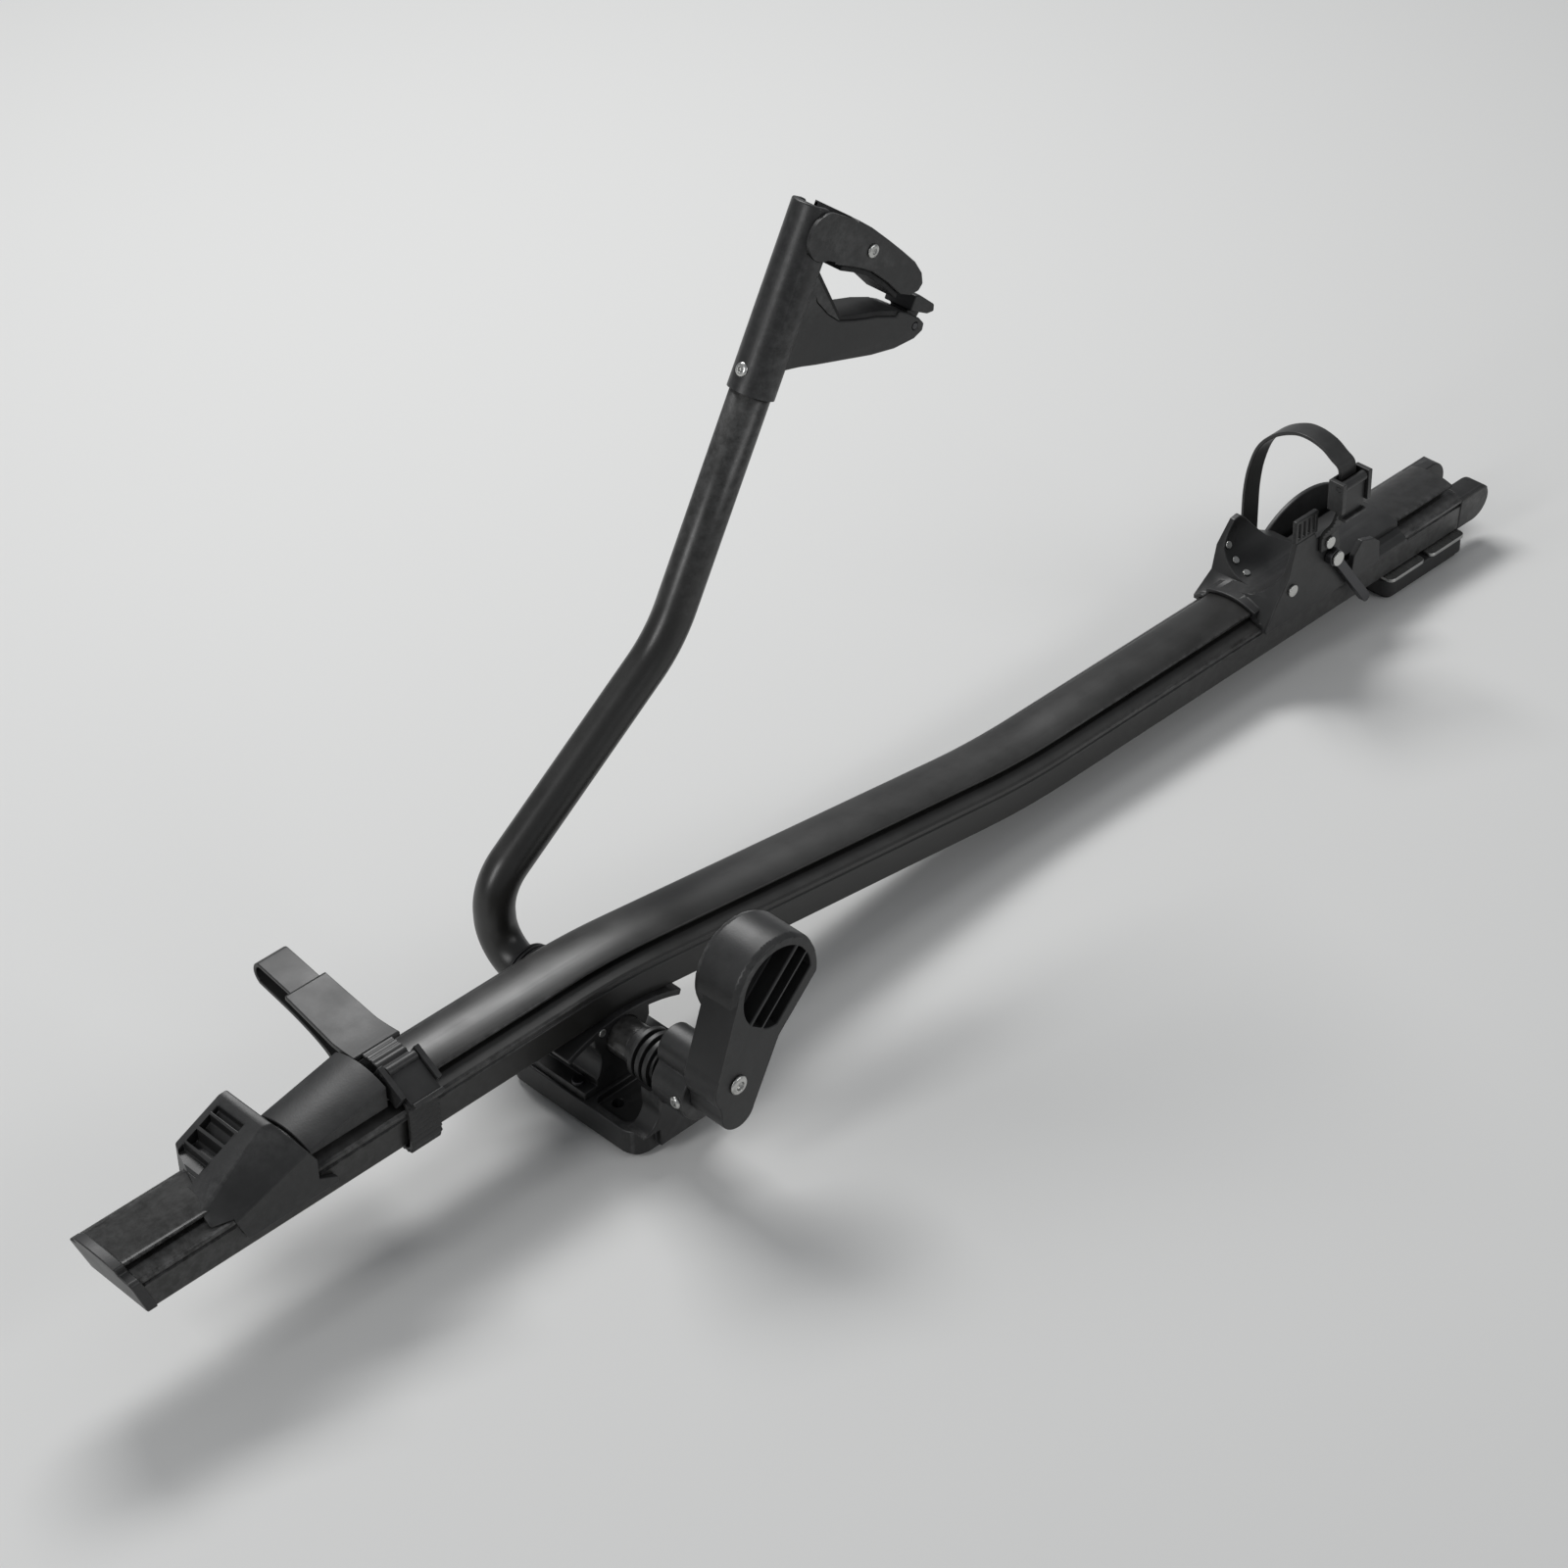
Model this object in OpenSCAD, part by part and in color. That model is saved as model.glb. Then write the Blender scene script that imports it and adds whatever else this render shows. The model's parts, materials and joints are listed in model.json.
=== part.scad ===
// Roof mounted bike carrier: bent rail, front foot with quick lever, folding arm with a frame clamp,
// two wheel holders with ladder straps and a sliding rear foot.
// X runs along the rail to the rear, +Y to the arm's side, Z up.
// The origin is on the crossbar, under the arm's pivot.

/* [Rail] */
// Length of the rail with its front cap
rail_length = 1310; // [1290:10:1400]
// Rail ahead of the arm's pivot
rail_front = 405; // [395:1:430]
// Width across the rail's shoulders
rail_width = 62; // [59:1:66]
// Height of the rail's section
rail_height = 42; // [40:1:44]
// Width of the crown
crown_width = 41; // [38:1:43]
// Rise of the crown over its edges
crown_rise = 3.5; // [3:0.5:5]
// Height of the front run's crown over the crossbar
crown_height = 118; // [117:1:126]
// Drop from the front run to the rear run
rail_drop = 55; // [48:1:57]
// Length over which the rail falls
fall_run = 400; // [380:10:420]
// Radius of the rail's front bend
front_bend_r = 500; // [400:10:560]
// Radius of the rail's rear bend
rear_bend_r = 600; // [400:10:640]
// Rake of the rail's front end in degrees
front_rake = 20; // [0:1:25]

/* [Front foot] */
// Length of the foot's base along the rail
base_length = 92; // [90:1:110]
// Reach of the base to the lever's side
base_near = 85; // [80:1:88]
// Reach of the base to the arm's side
base_far = 44; // [40:1:50]
// Thickness of the base
base_thick = 20; // [16:1:22]
// Thickness of the rubber pad
pad_thick = 4; // [3:0.5:5]
// Height of the arm's pivot over the crossbar
pivot_height = 60; // [57:1:62]
// Diameter of the bolt holes in the base
bolt_hole_d = 8.5; // [6.5:0.5:10.5]

/* [Arm] */
// Diameter of the arm's tube
tube_d = 28; // [25:1:30]
// Wall of the arm's tube
tube_wall = 2; // [1.5:0.25:3]
// Distance of the arm's plane from the rail's middle
arm_offset = 92; // [89:1:104]
// Height of the arm's knee over its pivot
knee_rise = 56; // [54:1:70]
// Slope of the arm's lower stretch in degrees
lower_slope = 35.5; // [30:0.5:40]
// Length of the arm's lower stretch
lower_length = 205; // [180:1:240]
// Slope of the arm's upper stretch in degrees
upper_slope = 60.5; // [55:0.5:66]
// Length of the arm's upper stretch, to the head
upper_length = 180; // [150:1:220]

/* [Clamp head] */
// Wall of the sleeve on the tube
sleeve_wall = 3; // [2.5:0.25:4]
// Height of the head along the sleeve
head_height = 134; // [132:1:137]
// Thickness of the lower jaw
jaw_thick = 30; // [28:1:32]
// Thickness of the rubber in the jaws
jaw_pad = 4; // [3:0.5:4.5]

/* [Lever] */
// Height of the lever's pivot over the arm's pivot
lever_rise = 24; // [22:1:27]
// Distance from the lever's pivot to the middle of its round end
lever_reach = 70; // [64:1:76]
// Width of the lever's round end
lever_width = 76; // [70:1:80]
// Thickness of the lever at its pivot
lever_thick = 30; // [26:1:32]
// Lean of the lever towards the rear in degrees
lever_lean = 36; // [0:1:50]

/* [Wheel straps] */
// Width of both straps
strap_width = 25; // [20:1:25]
// Thickness of both straps
strap_thick = 3; // [2:0.25:3]
// Reach of the front strap's loop to the arm's side
loop_reach = 122; // [110:1:132]
// Height of the rear strap's arch over the rail
arch_height = 127; // [122:1:140]

/* [Wheel holders] */
// Place of the chock's top edge
chock_x = -273; // [-285:1:-267]
// Height of the chock over the rail
chock_rise = 24; // [20:1:32]
// Place of the rear tray's front end
tray_x = 660; // [600:1:690]
// Length of the rear tray
tray_length = 172; // [168:1:180]
// Height of the tray's far wing over the rail
wing_rise = 40; // [36:1:44]

/* [Rear foot] */
// Place of the rear foot's middle
rear_foot_x = 860; // [800:1:860]
// Length of the rear foot
rear_foot_length = 96; // [94:1:104]

/* [Hidden] */
$fn = 48;

// Colours of the pieces
anodised = [0.10, 0.10, 0.10];
moulded = [0.13, 0.13, 0.13];
rubber = [0.05, 0.05, 0.05];
strap_black = [0.09, 0.09, 0.09];
steel = [0.72, 0.72, 0.70];
steel_dark = [0.30, 0.30, 0.31];

// Clearances: of a part that slides, of a part at rest on another body, and of a hinge pin
slide_gap = 0.4;
rest_gap = 0.2;
pin_gap = 0.05;
// Length by which a cutter passes the faces that it cuts
over = 1;
// Length by which a straight stretch runs into a bend, and the bend's skin under its surface
lap = 1;
skin = 0.1;

// The rail's section, measured down from the crown
half = rail_width / 2;
crown_half = crown_width / 2;
crown_r = (crown_half * crown_half + crown_rise * crown_rise) / (2 * crown_rise);
slot_top = crown_rise + 2;
slot_low = slot_top + 4;
slot_root = 13;
shoulder_r = 3;
shoulder_drop = slot_low + 2.5;
foot_half = half - 2.5;
mouth_half = 8;
floor_wall = 3;
cavity_half = slot_root - 2.5;
cavity_top = 4;

// The rail's line
cap_length = 8;
rail_x0 = cap_length - rail_front;
rail_x1 = rail_length - rail_front;
fall_x = 6;
fall_angle = atan(rail_drop / fall_run);
front_tangent = front_bend_r * tan(fall_angle / 2);
rear_tangent = rear_bend_r * tan(fall_angle / 2);
fall_length = fall_run / cos(fall_angle) - front_tangent - rear_tangent;
rear_crown = crown_height - rail_drop;
rail_floor = crown_height - rail_height;
rear_floor = rear_crown - rail_height;

// The foot
base_top = pad_thick + base_thick;
base_x0 = -base_length * 0.42;
base_r = 14;
barrel_r = 14;
barrel_near = -51;
barrel_far = 51;
shaft_r = 9;
saddle_half = half + 3;
tab_half = 36;
tab_thick = 6;
saddle_screw_x = 31;
saddle_screw_y = 22;
bolt_x = 18;
bolt_y = -46;

// The arm's corners in its own plane, as [x, z]
tube_r = tube_d / 2;
elbow_r = 30;
knee_r = 40;
crank_r = 110;
tube_start = barrel_far + 5;
knee = [0, pivot_height + knee_rise];
knee_tangent = knee_r * tan((90 - lower_slope) / 2);
crank_tangent = crank_r * tan((upper_slope - lower_slope) / 2);
lower_dir = [cos(lower_slope), sin(lower_slope)];
upper_dir = [cos(upper_slope), sin(upper_slope)];
crank = knee + lower_length * lower_dir;
head_base = crank + upper_length * upper_dir;
tube_insert = 78;

// The head's hinges, as [across, along] the sleeve
sleeve_r = tube_r + sleeve_wall;
sleeve_d = 2 * sleeve_r;
jaw_pivot = [2, 116];
jaw_pin_r = 3;
tongue_half = 8;
fork_half = 14;
cover_r = sleeve_r;
latch_pivot = [127, 66];
latch_pin_r = 2.5;
latch_half = 8;
head_screw_z = 15;
head_screw_r = 5;
head_screw_seat = 1;

// The lever
drum_r = 22;
drum_boss_r = 15;
drum_near = -115;
drum_far = -85;
spindle_r = 6;
lever_z = pivot_height + lever_rise;
lever_pin_r = 5;
lever_far = drum_near - 0.6;
lever_near = lever_far - lever_thick;
lever_hub_r = 20;
lever_swell = 10;
lobe_r = 15;
lobe = [13, -18];
rivet_r = 7;
drum_rivet_at = [drum_near + 6, pivot_height];

// The straps and buckles
wing_half = half + 5.5;
strap_x = -170;
strap_base = crown_height - crown_rise + 7.5;
strap_far = half + 3;
strap_low = rail_floor - rest_gap - strap_thick / 2 - 0.2;
rib_pitch = 4;
buckle_half = 17;
buckle_run = 13;
buckle_floor = -3.6;
buckle_top = 10.5;
buckle_pin = [8, 6.2];
buckle_pin_r = 2;
front_buckle_at = [strap_x, -19, strap_base - 1.5];
front_buckle_tilt = 32;
arch_x = tray_x + 66;
rear_buckle_y = -wing_half - 15.5;
rear_buckle_z = rear_crown + 94;
strap_side = wing_half + strap_thick / 2 + 0.4;
lug_step = 33;
strap_rivet_z = [rear_crown + 7, rear_crown + lug_step + 6];
strap_rivet_r = 3;

// The tray
cover_wall = 3;
trough_r = wing_half - 5;
trough_z = trough_r + 3.5;
scoop_length = 92;
near_rise = wing_rise + 12;
lock_at = [tray_x + 72, rear_crown + 23];
lock_length = 70;
lock_slope = -54;
lock_pin_r = 3;

// The rear foot
foot_plate_thick = 3;
foot_bolt_r = 4;
foot_half_width = half + 4;
foot_bolt_spread = 50;

// Points on an arc, from one angle to another
function arc_points(centre, r, from, to, steps) =
    [for (i = [0:steps]) let (a = from + (to - from) * i / steps) centre + r * [cos(a), sin(a)]];

// Unit vector across a path at one of its points
function across(path, i) =
    let (a = path[max(i - 1, 0)], b = path[min(i + 1, len(path) - 1)], d = b - a)
    [-d.y, d.x] / norm(d);

// Outline of a band of even thickness along a path
function band(path, thick) = concat(
    [for (i = [0:len(path) - 1]) path[i] - across(path, i) * thick / 2],
    [for (i = [len(path) - 1:-1:0]) path[i] + across(path, i) * thick / 2]
);

// Extrudes an outline in Y and Z along X
module along_x(length) {
    rotate([90, 0, 90]) linear_extrude(length) children();
}

// Extrudes an outline in X and Z across Y, even to both sides
module across_y(width) {
    rotate([90, 0, 0]) linear_extrude(width, center = true) children();
}

// A cylinder along Y from one place to another
module rod_y(x, z, r, from, to) {
    translate([x, to, z]) rotate([90, 0, 0]) cylinder(r = r, h = to - from);
}

// A cylinder along X, even to both sides
module rod_x(r, length) {
    rotate([0, 90, 0]) cylinder(r = r, h = length, center = true);
}

// Rectangle with round corners
module round_rect(x0, x1, y0, y1, r) {
    translate([x0 + r, y0]) square([x1 - x0 - 2 * r, y1 - y0]);
    translate([x0, y0 + r]) square([x1 - x0, y1 - y0 - 2 * r]);
    for (x = [x0 + r, x1 - r], y = [y0 + r, y1 - r]) translate([x, y]) circle(r);
}

// The rail's outer outline, grown by a gap, with its side slots filled
module section_outline(gap) {
    intersection() {
        translate([0, -crown_r]) circle(r = crown_r + gap);
        translate([-crown_half - gap, -slot_low - over]) square([2 * (crown_half + gap), slot_low + 2 * over + gap]);
    }
    polygon([
        [-foot_half - gap, -rail_height - gap], [foot_half + gap, -rail_height - gap],
        [half + gap, -shoulder_drop - shoulder_r], [half - shoulder_r, -shoulder_drop + gap],
        [crown_half + gap, -slot_low + gap], [-crown_half - gap, -slot_low + gap],
        [-half + shoulder_r, -shoulder_drop + gap], [-half - gap, -shoulder_drop - shoulder_r]
    ]);
    for (side = [-1, 1])
        translate([side * (half - shoulder_r), -shoulder_drop - shoulder_r]) circle(r = shoulder_r + gap);
}

// The rail's hollow section, with its walls thinned by a skin on every side
module rail_section(thin) {
    roof = cavity_half + thin;
    wall = half - 5 + thin;
    low = foot_half - 2.5 + thin;
    mouth = mouth_half + thin;
    difference() {
        section_outline(-thin);
        for (side = [0, 1])
            mirror([side, 0]) translate([slot_root - thin, -slot_low - thin])
                square([half, slot_low - slot_top + 2 * thin]);
        polygon([
            [-low, -rail_height + floor_wall - thin], [low, -rail_height + floor_wall - thin],
            [wall, -shoulder_drop - 6 + thin], [roof, -shoulder_drop - 2 + thin], [roof, -cavity_top + thin],
            [-roof, -cavity_top + thin], [-roof, -shoulder_drop - 2 + thin], [-wall, -shoulder_drop - 6 + thin]
        ]);
        translate([-mouth, -rail_height - over]) square([2 * mouth, floor_wall + 2 * over]);
    }
}

// Space that the rail takes, between two places on a level run
module rail_space(x0, x1, crown, gap) {
    translate([x0, 0, crown]) along_x(x1 - x0) section_outline(gap);
}

// Sweeps one outline along the rail's straight runs and another through its bends
module along_rail() {
    front_end = fall_x - front_tangent;
    fall_start = [fall_x + front_tangent * cos(fall_angle), crown_height - front_tangent * sin(fall_angle)];
    rear_start = fall_x + fall_run + rear_tangent;
    translate([rail_x0, 0, crown_height]) along_x(front_end + lap - rail_x0) children(0);
    translate([front_end, 0, crown_height - front_bend_r])
        rotate([90, 0, 0]) rotate(90 - fall_angle) rotate_extrude(angle = fall_angle, $fn = 180)
            translate([front_bend_r, 0]) rotate(-90) children(1);
    translate([fall_start.x, 0, fall_start.y]) rotate([0, fall_angle, 0])
        translate([-lap, 0, 0]) along_x(fall_length + 2 * lap) children(0);
    translate([rear_start, 0, rear_crown + rear_bend_r])
        rotate([90, 0, 0]) rotate(270 - fall_angle) rotate_extrude(angle = fall_angle, $fn = 180)
            translate([rear_bend_r, 0]) rotate(90) children(1);
    translate([rear_start - lap, 0, rear_crown]) along_x(rail_x1 - rear_start + lap) children(0);
}

// Slab across the raked front end, between two places along the crown
module front_slab(from, to) {
    translate([from - rail_front, 0, crown_height]) rotate([0, -front_rake, 0])
        translate([0, -rail_width, -2 * rail_height])
            cube([(to - from) * cos(front_rake), 2 * rail_width, 4 * rail_height]);
}

module rail() {
    color(anodised) difference() {
        along_rail() {
            rail_section(0);
            rail_section(skin);
        }
        front_slab(-rail_height, cap_length);
    }
}

module front_end_cap() {
    color(moulded) intersection() {
        rail_space(-rail_front - rail_height, rail_height - rail_front, crown_height, 0.6);
        front_slab(0, cap_length);
    }
}

// Two long round noses on a plate, below the crown
module rear_end_cap() {
    nose = 36;
    plate = 3;
    nose_r = (rail_height - slot_low) / 2 + 0.3;
    nose_z = rear_crown - (rail_height + slot_low) / 2;
    notch_half = 14;
    color(moulded) difference() {
        intersection() {
            rail_space(rail_x1, rail_x1 + nose, rear_crown, 0.3);
            union() {
                rod_y(rail_x1 + nose - nose_r, nose_z, nose_r, -rail_width, rail_width);
                translate([rail_x1, -rail_width, nose_z - nose_r]) cube([nose - nose_r, 2 * rail_width, 2 * nose_r]);
            }
        }
        translate([rail_x1 + plate, -notch_half, rear_floor - over]) cube([nose, 2 * notch_half, rail_height + 2 * over]);
    }
}

// Wedge over the rail, with a ribbed hollow in its sloping front
module front_chock() {
    toe = -62;
    heel = 18;
    far_toe = -40;
    width = rail_width + 2 * cover_wall + 2 * rest_gap;
    skirt_low = -30;
    pocket = [3, 29];
    facet_turn = 22;
    facet_tilt = 49;
    rib = 2;
    rib_step = 11;
    color(moulded) difference() {
        translate([chock_x, 0, crown_height]) difference() {
            across_y(width) polygon([
                [toe, -10], [toe, -3], [-3, chock_rise], [3, chock_rise], [heel, -2], [heel, -18], [heel + 14, -25],
                [heel + 14, skirt_low], [toe + 22, skirt_low], [toe + 14, -10]
            ]);
            translate([far_toe, width / 2, -width]) rotate(-20) translate([-width, -width / 2, 0])
                cube([width, 2 * width, 2 * width]);
            translate([toe + 12, -2, 14]) rotate(-facet_turn) rotate([-facet_tilt, 0, 0])
                translate([-2 * width, -2 * width, -2 * width]) cube([4 * width, 2 * width, 4 * width]);
            difference() {
                translate([0, (pocket[0] + pocket[1]) / 2, 0]) across_y(pocket[1] - pocket[0]) polygon([
                    [toe + 8, chock_rise + over], [toe + 8, 3], [toe + 34, 3], [-8, chock_rise - 7], [-8, chock_rise + over]
                ]);
                for (i = [0:3])
                    translate([toe + 14 + rib_step * i, 0, 2]) cube([rib, half, 6 + 4 * i]);
            }
        }
        rail_space(chock_x + toe - over, chock_x + heel + 20, crown_height, rest_gap);
        translate([chock_x + toe - over, -half + 3, rail_floor - over]) cube([120, rail_width - 6, 20]);
    }
}

// Arched panel that rises towards the strap
module front_ramp() {
    ramp_x0 = chock_x + 19;
    ramp_x1 = strap_x - 19 - 1;
    slope = 12;
    width = crown_width + 9;
    color(moulded) difference() {
        intersection() {
            translate([ramp_x0, -width / 2, crown_height - slot_top]) cube([ramp_x1 - ramp_x0, width, 45]);
            translate([ramp_x0, 0, crown_height - crown_r + 1.5])
                rotate([0, 90 - slope, 0]) translate([0, 0, -rail_width]) cylinder(r = crown_r, h = 4 * rail_width);
        }
        rail_space(ramp_x0 - over, ramp_x1 + over, crown_height, rest_gap);
    }
}

// The front strap's line in Y and Z, from the buckle round the loop and under the rail to the buckle
front_path = concat(
    [[-17.3, strap_base - 0.4], [-7.1, strap_base + 5.9], [-1.5, strap_base + 7.8], [8, strap_base + 7.8],
     [26, strap_base + 7], [52, strap_base + 8.4], [90, strap_base + 10.6]],
    arc_points([loop_reach, strap_base + 4], 7.5, 90, -90, 8),
    [[88, strap_base - 5.6], [60, strap_base - 10], [44, strap_base - 16], [strap_far + 1, strap_base - 26]],
    [[strap_far, strap_base - 36]],
    arc_points([strap_far - 6, strap_low + 6], 6, 0, -90, 4),
    arc_points([6 - strap_far, strap_low + 6], 6, -90, -180, 4),
    [[-strap_far, strap_base - 19], [-strap_far + 0.4, strap_base - 13.5], [-strap_far + 2.3, strap_base - 9.3],
     [-26.5, strap_base - 6.2], [-22.4, strap_base - 3.6]]
);

// The rear strap's line in Y and Z, from the far wing over the arch into the buckle
arch_path = concat(
    [[strap_side, rear_crown + 3], [strap_side, rear_crown + 32], [strap_side - 0.6, rear_crown + 55],
     [strap_side - 4, rear_crown + 77], [strap_side - 12, rear_crown + 99], [12, rear_crown + 115]],
    [[-6, rear_crown + arch_height - 2], [-20, rear_crown + arch_height], [-34, rear_crown + arch_height - 3]],
    [[-44, rear_crown + arch_height - 9], [rear_buckle_y + 1.6, rear_buckle_z + 20]],
    [[rear_buckle_y, rear_buckle_z + 14], [rear_buckle_y, rear_buckle_z + 3]]
);

// The rear strap's ladder from the buckle down to the near wing
ladder_path = [
    [rear_buckle_y, rear_buckle_z - 3], [rear_buckle_y, rear_buckle_z - 16], [rear_buckle_y + 4, rear_crown + 63],
    [-strap_side - 2.4, rear_crown + 52], [-strap_side, rear_crown + 45], [-strap_side, rear_crown + lug_step]
];

// Ribs of a ladder strap on the outer side of a straight stretch from a to b
module ladder_ribs(a, b) {
    d = b - a;
    count = floor(norm(d) / rib_pitch);
    for (i = [0.5:count - 0.5])
        translate(a + d * i / count) rotate(atan2(d.y, d.x)) translate([-0.8, -strap_thick / 2 - 0.9]) square([1.6, 1.2]);
}

// Band round the rail with a wide stretch between the ramp and the loop
module front_strap() {
    wide = 19;
    wide_thick = strap_thick + 0.8;
    step = 16;
    step_y = [20, 81];
    color(strap_black) {
        translate([strap_x - strap_width / 2, 0, 0]) along_x(strap_width) {
            polygon(band(front_path, strap_thick));
            ladder_ribs(front_path[4], front_path[3]);
            ladder_ribs([8 - strap_far, strap_low], [strap_far - 8, strap_low]);
        }
        intersection() {
            translate([strap_x - wide, 0, 0]) along_x(2 * wide)
                polygon(band([for (i = [3:6]) front_path[i] + [0, (wide_thick - strap_thick) / 2]], wide_thick));
            linear_extrude(2 * crown_height) polygon([
                [strap_x - wide, step_y[0]], [strap_x + wide, step_y[0]],
                [strap_x + wide - 2, step_y[1] + step / 2], [strap_x - wide + 2, step_y[1]]
            ]);
        }
    }
}

// Channel with two cheeks that the strap runs through
module buckle_frame() {
    bay_half = strap_width / 2 + 0.4;
    difference() {
        translate([-buckle_half, -buckle_run, buckle_floor])
            cube([2 * buckle_half, 2 * buckle_run, buckle_top - buckle_floor]);
        translate([-bay_half, -buckle_run - over, -strap_thick / 2 - 0.3])
            cube([2 * bay_half, 2 * buckle_run + 2 * over, buckle_top + 2 * strap_thick]);
        translate([0, buckle_pin[0], buckle_pin[1]]) rod_x(buckle_pin_r + pin_gap, 2 * buckle_half + 2 * over);
    }
}

// Flat lever on its own pin, with a finger lip at the free end
module buckle_flap() {
    flap_half = strap_width / 2 - 0.2;
    flap_end = -22;
    flap_low = 3.8;
    flap_thick = 4;
    lip = 3;
    translate([0, buckle_pin[0], buckle_pin[1]]) rod_x(buckle_pin_r, 2 * buckle_half);
    translate([0, buckle_pin[0], buckle_pin[1]]) rod_x(3.9, 2 * flap_half);
    translate([-flap_half, flap_end, flap_low]) cube([2 * flap_half, buckle_pin[0] - flap_end, flap_thick]);
    translate([-flap_half, flap_end, flap_low]) cube([2 * flap_half, lip, flap_thick + lip]);
}

module at_front_buckle() {
    translate(front_buckle_at) rotate([front_buckle_tilt, 0, 0]) children();
}

module at_rear_buckle() {
    translate([arch_x, rear_buckle_y, rear_buckle_z]) rotate([90, 0, 0]) children();
}

module front_buckle() {
    color(moulded) at_front_buckle() buckle_frame();
}

module front_buckle_lever() {
    color(moulded) at_front_buckle() buckle_flap();
}

// Base with a shallow recess, two bolt holes and a flared post for the lever's drum
module foot_base() {
    x0 = base_x0;
    x1 = base_x0 + base_length;
    recess_depth = 6;
    rim = 7;
    post_half = 20;
    post_near = drum_far - 5;
    post_far = -base_near + 12;
    flare_r = 15;
    color(moulded) difference() {
        union() {
            translate([0, 0, pad_thick]) linear_extrude(base_thick) round_rect(x0, x1, -base_near, base_far, base_r);
            translate([0, (post_near + post_far) / 2, 0]) across_y(post_far - post_near) {
                translate([-post_half, pad_thick + 4]) square([2 * post_half, pivot_height - pad_thick - 4]);
                difference() {
                    translate([-post_half - flare_r, base_top - over]) square([2 * (post_half + flare_r), flare_r + over]);
                    for (side = [-1, 1]) translate([side * (post_half + flare_r), base_top + flare_r]) circle(flare_r);
                }
            }
        }
        translate([0, 0, base_top - recess_depth]) linear_extrude(recess_depth + over)
            round_rect(x0 + rim, x1 - rim, post_far + 2, -saddle_half - 3, 6);
        rod_y(0, pivot_height, drum_r, -base_near - 20, 0);
        for (x = [-bolt_x, bolt_x])
            translate([x, bolt_y, pad_thick - over]) cylinder(d = bolt_hole_d, h = base_thick + 2 * over);
    }
}

module foot_pad() {
    x0 = base_x0 + 4;
    x1 = base_x0 + base_length - 4;
    color(rubber) difference() {
        linear_extrude(pad_thick) round_rect(x0, x1, 4 - base_near, base_far - 4, base_r - 4);
        for (x = [-bolt_x, bolt_x])
            translate([x, bolt_y, -over]) cylinder(d = bolt_hole_d, h = pad_thick + 2 * over);
    }
}

// Bowed block under the rail with an arched flange, two tabs and a bore for the pivot barrel
module saddle() {
    waist = 20;
    bow_r = 21;
    bow_z = base_top + tab_thick + 19;
    flange_r = 130;
    flange_spread = 23;
    flange_top = rail_floor + 1;
    flange = 5;
    color(moulded) difference() {
        across_y(2 * saddle_half) {
            translate([-tab_half, base_top]) square([2 * tab_half, tab_thick]);
            difference() {
                translate([-waist - 5, base_top]) square([2 * waist + 10, rail_floor - 4 - base_top]);
                for (side = [-1, 1]) translate([side * (waist + bow_r), bow_z]) circle(bow_r);
            }
            polygon(band(arc_points([3, flange_top - flange_r - flange / 2], flange_r, 90 - flange_spread,
                90 + flange_spread, 12), flange));
        }
        along_rail() {
            section_outline(0);
            section_outline(-skin);
        }
        rod_y(0, pivot_height, barrel_r, -saddle_half - over, saddle_half + over);
        for (x = [-saddle_screw_x, saddle_screw_x], y = [-saddle_screw_y, saddle_screw_y])
            translate([x, y, base_top - over]) cylinder(r = 3, h = tab_thick + 2 * over);
    }
}

module saddle_screws() {
    color(steel_dark) for (x = [-1, 1], y = [-1, 1])
        translate([x * saddle_screw_x, y * saddle_screw_y, base_top]) {
            cylinder(r = 3, h = tab_thick);
            translate([0, 0, tab_thick]) cylinder(r = 4.5, h = 3);
        }
}

module saddle_rivet() {
    color(steel) rod_y(-18, rail_floor - 3.4, 3, -saddle_half - 1.5, -saddle_half);
}

module pivot_barrel() {
    color(anodised) difference() {
        rod_y(0, pivot_height, barrel_r, barrel_near, barrel_far);
        rod_y(0, pivot_height, shaft_r + pin_gap, barrel_near - over, barrel_far + over);
    }
}

module pivot_shaft() {
    color(steel_dark) rod_y(0, pivot_height, shaft_r, barrel_near + 1, tube_start);
}

// Stack of rings between the barrel and the tube
module arm_collar() {
    collar_near = barrel_far + slide_gap;
    collar_far = tube_start + 6;
    ring_r = 23;
    core_r = 18.5;
    ring = 2.4;
    ring_pitch = 4;
    color(moulded) difference() {
        union() {
            rod_y(0, pivot_height, core_r, collar_near, collar_far);
            for (i = [0:2])
                rod_y(0, pivot_height, ring_r - i, collar_near + ring_pitch * i, collar_near + ring_pitch * i + ring);
        }
        rod_y(0, pivot_height, shaft_r, collar_near - over, tube_start);
        rod_y(0, pivot_height, tube_r, tube_start, collar_far + over);
    }
}

// A straight stretch of the arm in its plane, run into the bends at its ends
module arm_run(from, slope, length, r) {
    translate([from.x, arm_offset, from.y]) rotate([0, 90 - slope, 0])
        translate([0, 0, -lap]) cylinder(r = r, h = length + 2 * lap);
}

// A bend of the arm in its plane
module arm_bend(centre, bend_r, from, to, r) {
    translate([centre.x, arm_offset, centre.y]) rotate([90, 0, 0]) rotate(from)
        rotate_extrude(angle = to - from, $fn = 96) translate([bend_r, 0]) circle(r = r - skin);
}

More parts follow.
